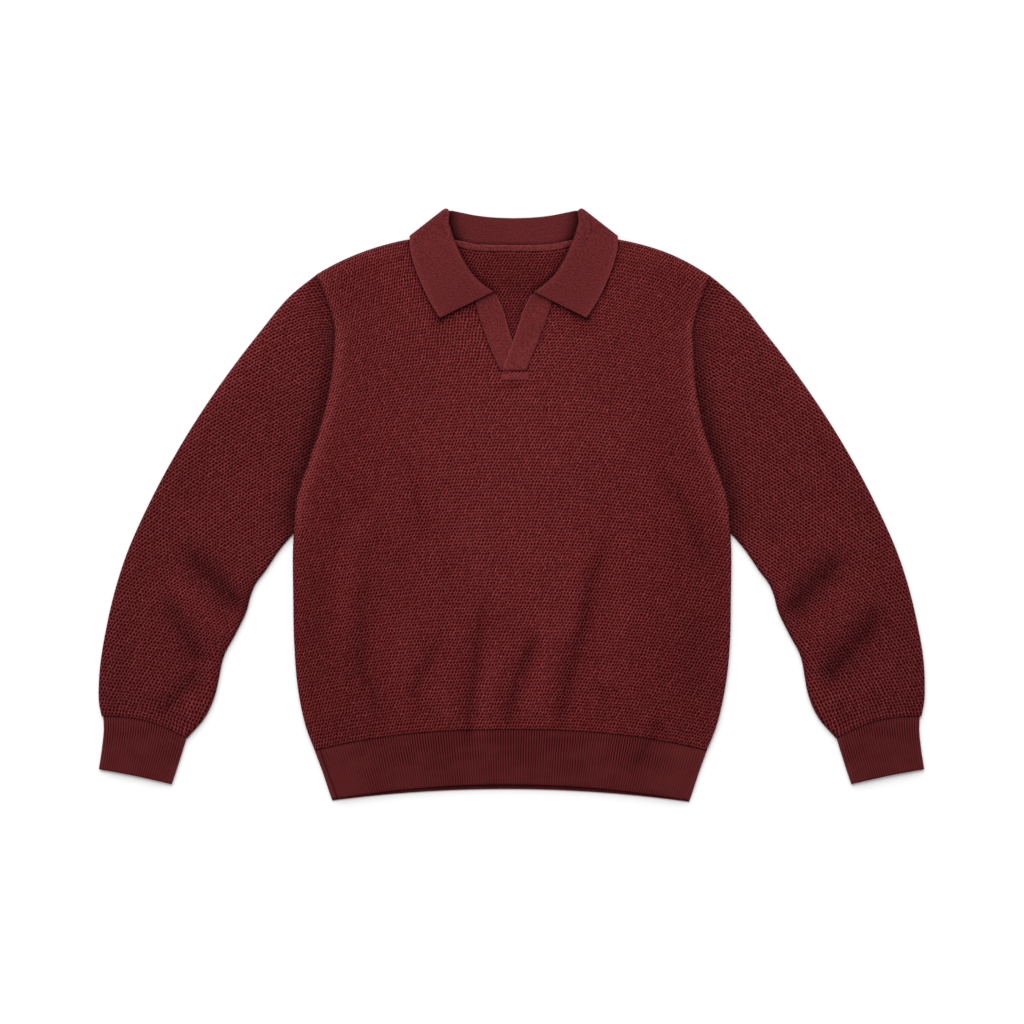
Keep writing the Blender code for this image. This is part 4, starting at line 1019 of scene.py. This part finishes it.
def add_hem(name, foot_y, foot_drop, ribbed, plain):
    """A hem band with its ribs on one side and a plain wall behind them."""
    cloth = Cloth()
    shares = [0.0, 0.02, 0.05, 0.12, 0.22, 0.34, 0.46, 0.58, 0.7, 0.82, 0.91, 0.97, 0.99, 1.0]
    wide = [0.0, 0.12, 0.46, 0.82, 0.92, 0.96, 0.99, 1.0]
    rows = [hem_row(cloth, s, foot_y, foot_drop, ribbed, True) for s in shares]
    behind = [hem_row(cloth, s, foot_y, foot_drop, plain, False) for s in wide]
    cloth.wall(rows, shares, behind, wide)
    return cloth.piece(name, hem_rib)


hem_front = add_hem("hem_band_front", -338.9, 18.5, "front_face", "front_rest")
hem_back = add_hem("hem_band_back", -345.0, 14.8, "back_rest", "back_face")
for band, solid, under in ((hem_front, "hem_front", hem_back), (hem_back, "hem_back", "floor")):
    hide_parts(solid)


# Cuffs. Each is a short tube of the ribbed knit, linked to the sleeve along a bowed seam, which
# gathers the sleeve a little above it.

CUFF_RIBS, CUFF_COURSES = 33, 50.0
CUFF_DEPTH = 58.0
CUFF_PUFF = 1.6
CUFF_OUTER = [(495.9, -256.9), (495.2, -269.9), (497.4, -295.0), (501.3, -320.9)]
CUFF_INNER = [(394.7, -283.0), (399.3, -297.8), (405.8, -318.5), (412.7, -339.1)]
cuff_outer = plan_curve(CUFF_OUTER)[0]
cuff_inner = plan_curve(CUFF_INNER)[0]


def cuff_row(cloth, s, side, surface, fine):
    """One row across a cuff, s from its seam to its foot, on one of its four surfaces."""
    start = np.array(cuff_outer(s))
    end = np.array(cuff_inner(s))
    width = float(np.hypot(*(end - start)))
    across = (end - start) / width
    u = np.linspace(0.0, CUFF_RIBS, CUFF_RIBS * 6 + 1 if fine else 12)
    inset = 2.2 / width
    if fine:
        sides = np.array(EDGE_STEPS) / width * CUFF_RIBS
        u = np.unique(np.concatenate((u, sides, CUFF_RIBS - sides)))
        inset = 0.0
    r = inset + (1.0 - 2.0 * inset) * u / CUFF_RIBS
    bow = (CUFF_SEAM_BOW + (1.0 - CUFF_SEAM_BOW) * s) * np.sin(math.pi * r)
    x = start[0] + (end[0] - start[0]) * r + across[1] * bow
    y = start[1] + (end[1] - start[1]) * r - across[0] * bow
    inside = np.minimum(r, 1.0 - r) * width
    from_seam = s * CUFF_DEPTH
    foot = float(rounding(CUFF_DEPTH - from_seam, 2.0)) * (0.75 + 0.25 * float(rise(from_seam, 0.0, 3.0)))
    full = np.minimum(rounding(inside), 0.45 + 0.55 * foot)
    middle = RIB_WALL + LAYER_GAP / 2.0
    face = middle + (RIB_WALL + LAYER_GAP / 2.0 + CUFF_PUFF * rise(inside, -2.0, 25.0)) * full
    rest = middle * (1.0 - full)
    ribs = rib_height(u) * rise(inside, 1.5, 3.5) * (1.0 - 0.45 * s)
    z = {"face": face + (0.95 * ribs - 0.3) * full,
         "rest": rest + 0.5 * (1.0 - ribs) * full,
         "ceiling": np.maximum(face - RIB_WALL, middle + 0.1),
         "lining": np.minimum(rest + RIB_WALL, middle - 0.1)}[surface]
    # A little darker towards the foot, a dark line at the seam, and a painted highlight along the folded
    # sides.
    tone = 1.05 - 0.03 * s - 0.20 * near(from_seam, 1.3) + 0.08 * near(inside - 3.0, 3.0)
    return cloth.row(side * x, y, z, u, s * CUFF_COURSES, tone if surface == "face" else 1.0)


def add_cuff(name, side):
    """A cuff as a flat tube with ribs outside and a plain inside."""
    cloth = Cloth()
    shares = [0.0, 0.02, 0.05, 0.12, 0.25, 0.4, 0.55, 0.7, 0.85, 0.95, 0.98, 1.0]
    wide = [0.0, 0.25, 0.55, 1.0]
    made = {}
    for surface, fine in (("face", True), ("rest", True), ("ceiling", False), ("lining", False)):
        made[surface] = [cuff_row(cloth, s, side, surface, fine) for s in (shares if fine else wide)]
        cloth.patch(made[surface])
    for end in (0, -1):
        cloth.join(made["face"][end], made["ceiling"][end])
        cloth.join(made["rest"][end], made["lining"][end])
        cloth.join(edge(made["ceiling"], wide, end), edge(made["lining"], wide, end))
    return cloth.piece(name, hem_rib)


for name, side in (("cuff_left", 1), ("cuff_right", -1)):
    cuff = add_cuff(name + "_band", side)
    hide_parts(name)


# Placket. Two strips of fine knit down the edges of the V, each folded along its inner edge. The
# left one lies over the right one's foot, and a short linked bar closes the V below them.

FINE_WALL = 1.8
NECK_STRIP_INNER = [(163.0, -12.5), (181.0, -6.3), (198.0, 0.0), (214.7, 5.6), (236.8, 12.4),
                    (254.5, 20.8)]
strip_inner_x = spline(*zip(*NECK_STRIP_INNER))
STRIP_FOOT_Y, STRIP_TOP_Y, STRIP_INNER_TOP_Y = 162.4, 263.0, 254.5


def fine_knit(name, colour, rim_highlight_colour, ribs=0.25):
    """The fine knit: faint wales, a little fuzz, and a paler rim along its rolled edges, partly its own
    colour and partly a painted highlight.
    """
    made, tree, shader = yarn_shader(name, sheen=0.10)
    along, down, _ = split(node(tree, "ShaderNodeUVMap", uv_map="stitch"))
    yarn = grouped(tree, yarn_group, Fuzz=2.9, Patches=0.35)
    wale = (along * (math.tau / 2.7)).math("SINE")
    course_line = (down * (math.tau / 1.3)).math("SINE")
    rim = node(tree, "ShaderNodeAttribute", attribute_name="rim", out=2)
    # The rim colour is partly the rolled edge's own and partly a painted highlight.
    with_painted_rim = mixed(soft_step(rim, 0.6, 2.6, 1.0, 0.0), colour, rim_highlight_colour)
    height = yarn["Fuzz"] * 0.5 + wale * ribs + course_line * 0.12
    knit_surface(shader, with_painted_rim, wale * 0.08 + yarn["Shade"], height, 0.5, 0.0003)
    return made


# The placket's colour, and its rim's, which is partly a painted highlight; tape and collar give theirs the
# same way.
FINE_COLOUR = (0.108, 0.0165, 0.0180, 1.0)
FINE_RIM_HIGHLIGHT = (0.150, 0.0300, 0.0320, 1.0)
placket_knit = fine_knit("burgundy_placket_knit", FINE_COLOUR, FINE_RIM_HIGHLIGHT)


def fine_wall(name, upper, lower, stitches, rims, tones, material):
    """A closed wall of fine knit between two sheets, with each point's distance to its rim.

    A sheet is a grid of x, one of y and one of z, and the stitches are a grid of u and one of v.
    """
    cloth = Cloth()
    sheets = []
    for sheet in (upper, lower):
        grids = np.broadcast_arrays(*sheet, *stitches, tones, rims)
        rows = [cloth.row(*lines) for lines in zip(*grids[:-1])]
        sheets.append([[(i, point) for i, (_, point) in enumerate(row)] for row in rows])
    keys = range(len(rows))
    cloth.wall(sheets[0], keys, sheets[1], keys)
    made = cloth.piece(name, material)
    values = np.tile(grids[-1].ravel(), 2).astype(np.float32)
    made.data.attributes.new("rim", "FLOAT", "POINT").data.foreach_set("value", values)
    return made


def add_strip(name, side, over):
    """A placket strip with soft edges, its inner one folded and a little fuller."""
    share = np.linspace(0.0, 1.0, 60)[:, None]
    across = np.array([0.0, 0.02, 0.05, 0.1, 0.2, 0.3, 0.4, 0.5, 0.6, 0.7, 0.8, 0.9, 0.95, 0.98, 1.0])
    outer_y = STRIP_FOOT_Y + (STRIP_TOP_Y - STRIP_FOOT_Y) * share
    inner_y = STRIP_FOOT_Y + (STRIP_INNER_TOP_Y - STRIP_FOOT_Y) * share
    outer_x = notch_x(outer_y) - 0.36
    inner_x = strip_inner_x(inner_y)
    width = np.hypot(outer_x - inner_x, outer_y - inner_y)
    x = inner_x + (outer_x - inner_x) * across
    y = inner_y + (outer_y - inner_y) * across
    from_inner, from_outer = across * width, (1.0 - across) * width
    full = np.minimum(rounding(from_inner, 1.6), rounding(from_outer, 1.2))
    full = np.minimum(full, rounding(outer_y - STRIP_FOOT_Y, 1.2))
    z = front_under(side * x, y) + over * (FINE_WALL + SEAM) * rise(240.0 - inner_y, 0.0, 34.0)
    # Painted shadow below the collar leaf, a dark line along the outer seam, and a little darker towards
    # the top.
    below = distance_to(x, y, LEAF_LOWER_EDGE)
    tone = 1.06 - 0.10 * share - 0.5 * near(below, 3.2) - 0.2 * near(below, 8.0)
    tone = tone - 0.3 * near(from_outer, 1.2)
    return fine_wall(name, (side * x, y, z + 0.6 + (FINE_WALL - 0.2) * full),
                     (side * x, y, z + 0.3 * (1.0 - full)), (from_inner, outer_y),
                     np.minimum(from_inner, 0.6 + from_outer), tone, placket_knit)


strip_right = add_strip("placket_strip_right", -1, 0.0)
strip_left = add_strip("placket_strip_left", 1, 1.0)
for strip, solid in ((strip_right, "placket_right"), (strip_left, "placket_left")):
    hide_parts(solid)

BAR_TOP, BAR_FOOT, BAR_RIGHT, BAR_LEFT = 159.2, 150.7, -14.0, 20.0
BAR_LOOPS, BAR_ROWS = 40, 12
x, y = np.meshgrid(np.linspace(BAR_RIGHT, BAR_LEFT, BAR_LOOPS), np.linspace(BAR_TOP, BAR_FOOT, BAR_ROWS))
full = np.minimum(rounding(np.minimum(x - BAR_RIGHT, BAR_LEFT - x), 2.5),
                  rounding(np.minimum(BAR_TOP - y, y - BAR_FOOT), 2.0))
z = front_face(x, y) - 0.7
tone = 1.14 - 0.16 * (np.arange(BAR_ROWS)[:, None] % 4 == 2)
placket_bar = fine_wall("placket_foot_bar", (x, y, z + 0.4 + 1.5 * full), (x, y, z), (x, y), 3.0, tone,
                        placket_knit)
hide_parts("placket_bar")


# Neck tape. A narrow strip of fine knit over the seam between the back panel and the collar, so
# that the inside of the neck is smooth.

COLLAR_BACK = [(78.0, 323.2, 73.6, 357.3, 113.0, 305.0), (65.0, 320.6, 61.8, 354.9, 94.0, 296.5),
               (45.0, 316.4, 45.1, 351.7, 66.0, 291.5), (24.0, 315.6, 24.0, 349.4, 34.0, 289.5),
               (0.0, 315.5, 0.0, 348.5, 0.0, 289.0)]
TAPE_HALF = COLLAR_BACK[0][0]
TAPE_LOOPS = 120
tape_knit = fine_knit("burgundy_tape_knit", (0.112, 0.0190, 0.0205, 1.0), (0.128, 0.0240, 0.0256, 1.0), 0.5)

s = np.array([0.0, 0.06, 0.15, 0.3, 0.5, 0.7, 0.85, 0.94, 1.0])
x, s = np.meshgrid(np.linspace(-TAPE_HALF, TAPE_HALF, TAPE_LOOPS), s)
seam_x, seam_y = [[row[k] for row in COLLAR_BACK[::-1]] for k in (0, 1)]
curve = np.clip(np.abs(x) / NECK_POINT_X, 0.0, 1.0) ** BACK_NECK_BOW
foot = BACK_NECK_Y + (NECK_POINT_Y - BACK_NECK_Y) * curve + 0.4
top = np.maximum(np.interp(np.abs(x), seam_x, seam_y) - 0.05, foot + 0.5)
y = foot + (top - foot) * s
full = np.minimum(rounding(y - foot, 2.2), 0.75 + 0.25 * rounding(top - y, 3.0))
tone = 1.0 + 0.30 * s ** 4 * (np.arange(TAPE_LOOPS) % 2)
# Painted shadow beside the collar's roll line.
tone = tone - 0.45 * near(distance_to(np.abs(x), y, ROLL_LINE), 6.0)
neck_tape = fine_wall("neck_tape_strip", (x, y, COLLAR_LIFT + 0.6 + 2.2 * full), (x, y, COLLAR_LIFT),
                      (y, x), np.minimum(y - foot, top - y) + 0.4, tone, tape_knit)
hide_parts("neck_tape")


# Collar. One piece of fine knit, linked into the neck. Its stand rises to the roll line, where it
# turns over: the leaf lies on the front, and goes under the back panel behind the neck.

WRAP_ANGLE = math.radians(37.5)
COLLAR_FRONT = [(30.5, 258.2, 24.3, 258.2, 88.7, 226.6), (44.0, 263.4, 38.5, 268.4, 93.6, 233.6),
                (58.0, 276.6, 49.7, 279.6, 100.6, 245.0), (74.6, 294.6, 59.1, 293.6, 110.1, 263.8),
                (83.4, 311.0, 67.3, 310.3, 119.5, 287.0), (85.0, 318.0, 72.9, 324.2, 125.4, 309.0),
                (84.6, 323.0, 78.6, 342.0, 126.9, 319.0)]
COLLAR_WRAP = (83.2, 325.0, 82.3, 360.1, 127.2, 325.8)
COLLAR_REACH = ((0, 123.8), (1, 356.8))
collar_knit = fine_knit("burgundy_collar_knit", (0.099, 0.0152, 0.0166, 1.0), (0.124, 0.0220, 0.0238, 1.0))


def table_rows(rows, count):
    """A smooth run of count collar rows through the given ones."""
    smooth = spline(range(len(rows)), rows)
    return [tuple(smooth(k)) for k in np.linspace(0.0, len(rows) - 1.0, count)]


def collar_section(row, turn):
    """Centre points of a collar section, up the stand, round the roll and down the leaf.

    turn goes from 0, on the front, to 1, on the back: the layers swing round the shoulder.
    """
    seam, roll, rim = np.array(row[0:2]), np.array(row[2:4]), np.array(row[4:6])
    inward = (roll - rim) / np.hypot(*(roll - rim))
    outward = np.array((math.sin(WRAP_ANGLE), math.cos(WRAP_ANGLE)))
    if row is COLLAR_WRAP:
        roll = roll - outward * (5.9 - 1.4 * turn) - inward * 1.25
        rim = rim - outward * 5.9 + np.array((2.8, -1.5)) * max(1.0 - 2.0 * turn, 0.0) ** 2
    else:
        roll = roll - inward * 2.5
    angle = math.pi * turn
    swing = np.array((*(outward * math.sin(angle)), math.cos(angle)))
    core = COLLAR_LIFT + 1.5 * FINE_WALL + 0.1

    def offsets(x, y):
        x, y = np.array(x), np.array(y)
        front_stand = float(front_under(x, y)) + FINE_WALL / 2.0 - core
        front_leaf = float(front_face(x, y)) + 0.5 + FINE_WALL / 2.0 - core
        back_stand = core - COLLAR_LIFT - FINE_WALL / 2.0
        back_leaf = core - FINE_WALL / 2.0
        return (front_stand + (back_stand - front_stand) * turn,
                front_leaf + (back_leaf - front_leaf) * turn)

    points = []
    for share in np.linspace(0.0, 1.0, 7):
        x, y = seam + (roll - seam) * share
        points.append(np.array((x, y, core)) + swing * offsets(x, y)[0])
    stand, leaf = offsets(*roll)
    radius = (leaf - stand) / 2.0
    for bend in np.linspace(0.0, math.pi, 9)[1:-1]:
        points.append(np.array((*(roll + inward * radius * math.sin(bend)), core))
                      + swing * ((stand + leaf) / 2.0 - radius * math.cos(bend)))
    for share in list(np.linspace(0.0, 0.9, 16)) + [0.94, 0.97, 0.985, 1.0]:
        x, y = roll + (rim - roll) * share
        points.append(np.array((x, y, core)) + swing * offsets(x, y)[1])
    return points


def steps_along(points, axis):
    """The lengths of the steps between neighbouring points of a grid."""
    return np.linalg.norm(np.diff(points, axis=axis), axis=-1)


def add_collar():
    """The collar, with its leaf's edges rounded."""
    half = [collar_section(row, 0.0) for row in table_rows(COLLAR_FRONT, 46)]
    half += [collar_section(COLLAR_WRAP, turn) for turn in np.linspace(0.0, 1.0, 15)]
    half += [collar_section(row, 1.0) for row in table_rows(COLLAR_BACK, 24)]
    mirrored = [[p * np.array((-1.0, 1.0, 1.0)) for p in section] for section in half[-2::-1]]
    centre = np.array(half + mirrored)
    for axis, reach in COLLAR_REACH:
        past = np.maximum(np.abs(centre[..., axis]) - reach, 0.0)
        centre[..., axis] -= np.sign(centre[..., axis]) * (past - 2.6 * np.tanh(past / 2.6))
    normals = np.cross(np.gradient(centre, axis=0), np.gradient(centre, axis=1))
    normals /= np.linalg.norm(normals, axis=2, keepdims=True)
    down = np.pad(np.cumsum(steps_along(centre, 1), axis=1), ((0, 0), (1, 0)))
    along = np.pad(np.cumsum(steps_along(centre[:, 20], 0)), (1, 0))[:, None]
    to_edge = down[:, -1:] - down
    to_end = np.minimum(along, along[-1] - along)
    thick = FINE_WALL / 2.0 * (0.35 + 0.65 * np.minimum(rounding(to_edge, 1.6), rounding(to_end, 1.6)))
    wall = normals * thick[..., None]
    from_roll = down - down[:, 10:11]
    stand = rise(-from_roll, -2.0, 4.0)
    from_leaf = distance_to(np.abs(centre[..., 0]), centre[..., 1], ROLL_LINE)
    # Painted shadow on the stand, deepest beside the leaf's roll line, and painted highlights along the
    # roll and near the leaf's edge.
    tones = 1.0 - stand * (0.07 + 0.72 * near(from_leaf, 10.0))
    tones = tones + 0.12 * (1.0 - stand) * near(from_roll - 2.0, 4.0) + 0.12 * near(to_edge - 2.5, 3.5)
    return fine_wall("collar_turned", np.moveaxis(centre + wall, 2, 0), np.moveaxis(centre - wall, 2, 0),
                     (along, down), np.minimum(to_edge, to_end), tones, collar_knit)


collar = add_collar()
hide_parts("collar")


# Floor, camera and light. A white floor under soft light from all round, seen from straight above.

FLOOR_WHITE = 0.88
PHOTO_WIDTH = 1.2448
LENS, SENSOR = 85.0, 36.0

bpy.ops.mesh.primitive_plane_add(size=8.0, location=(0.0, 0.0, -0.0004))
floor = bpy.context.object
floor.name = "floor"
floor.data.transform(floor.matrix_world)
floor.matrix_world.identity()
floor_paint = bpy.data.materials.new("white_floor")
floor_paint.use_nodes = True
paint = floor_paint.node_tree.nodes["Principled BSDF"].inputs
paint["Base Color"].default_value = (FLOOR_WHITE, FLOOR_WHITE, FLOOR_WHITE, 1.0)
paint["Roughness"].default_value = 0.9
paint["Specular IOR Level"].default_value = 0.1
floor.data.materials.append(floor_paint)


def add_to_scene(name, data, place=(0.0, 0.0, 0.0), towards=(0.0, 0.0, -1.0)):
    """Adds a camera or a lamp, turned so that it looks in a direction."""
    made = bpy.data.objects.new(name, data)
    bpy.context.scene.collection.objects.link(made)
    made.location = place
    made.rotation_euler = Vector(towards).to_track_quat("-Z", "Y").to_euler()
    return made


camera_data = bpy.data.cameras.new("camera")
camera_data.lens = LENS
camera_data.sensor_width = SENSOR
camera_data.clip_end = 50.0
camera = add_to_scene("camera", camera_data, (0.0006, -0.0085, PHOTO_WIDTH * LENS / SENSOR))
bpy.context.scene.camera = camera

world = bpy.data.worlds.new("studio")
world.use_nodes = True
world.node_tree.nodes["Background"].inputs["Color"].default_value = (1.0, 1.0, 1.0, 1.0)
world.node_tree.nodes["Background"].inputs["Strength"].default_value = 0.55
bpy.context.scene.world = world

softbox = bpy.data.lights.new("softbox_upper", "AREA")
softbox.shape = "RECTANGLE"
softbox.size, softbox.size_y = 1.4, 1.0
softbox.energy = 14.0
add_to_scene("softbox_upper", softbox, (-0.25, 0.9, 2.1), (0.25, -0.9, -2.1))

key = bpy.data.lights.new("broad_key", "SUN")
key.energy = 2.3
key.angle = math.radians(55.0)
add_to_scene("broad_key", key, towards=(0.22, -1.0, -0.86))

bpy.context.scene.view_settings.view_transform = "Standard"
bpy.context.scene.view_settings.look = "None"
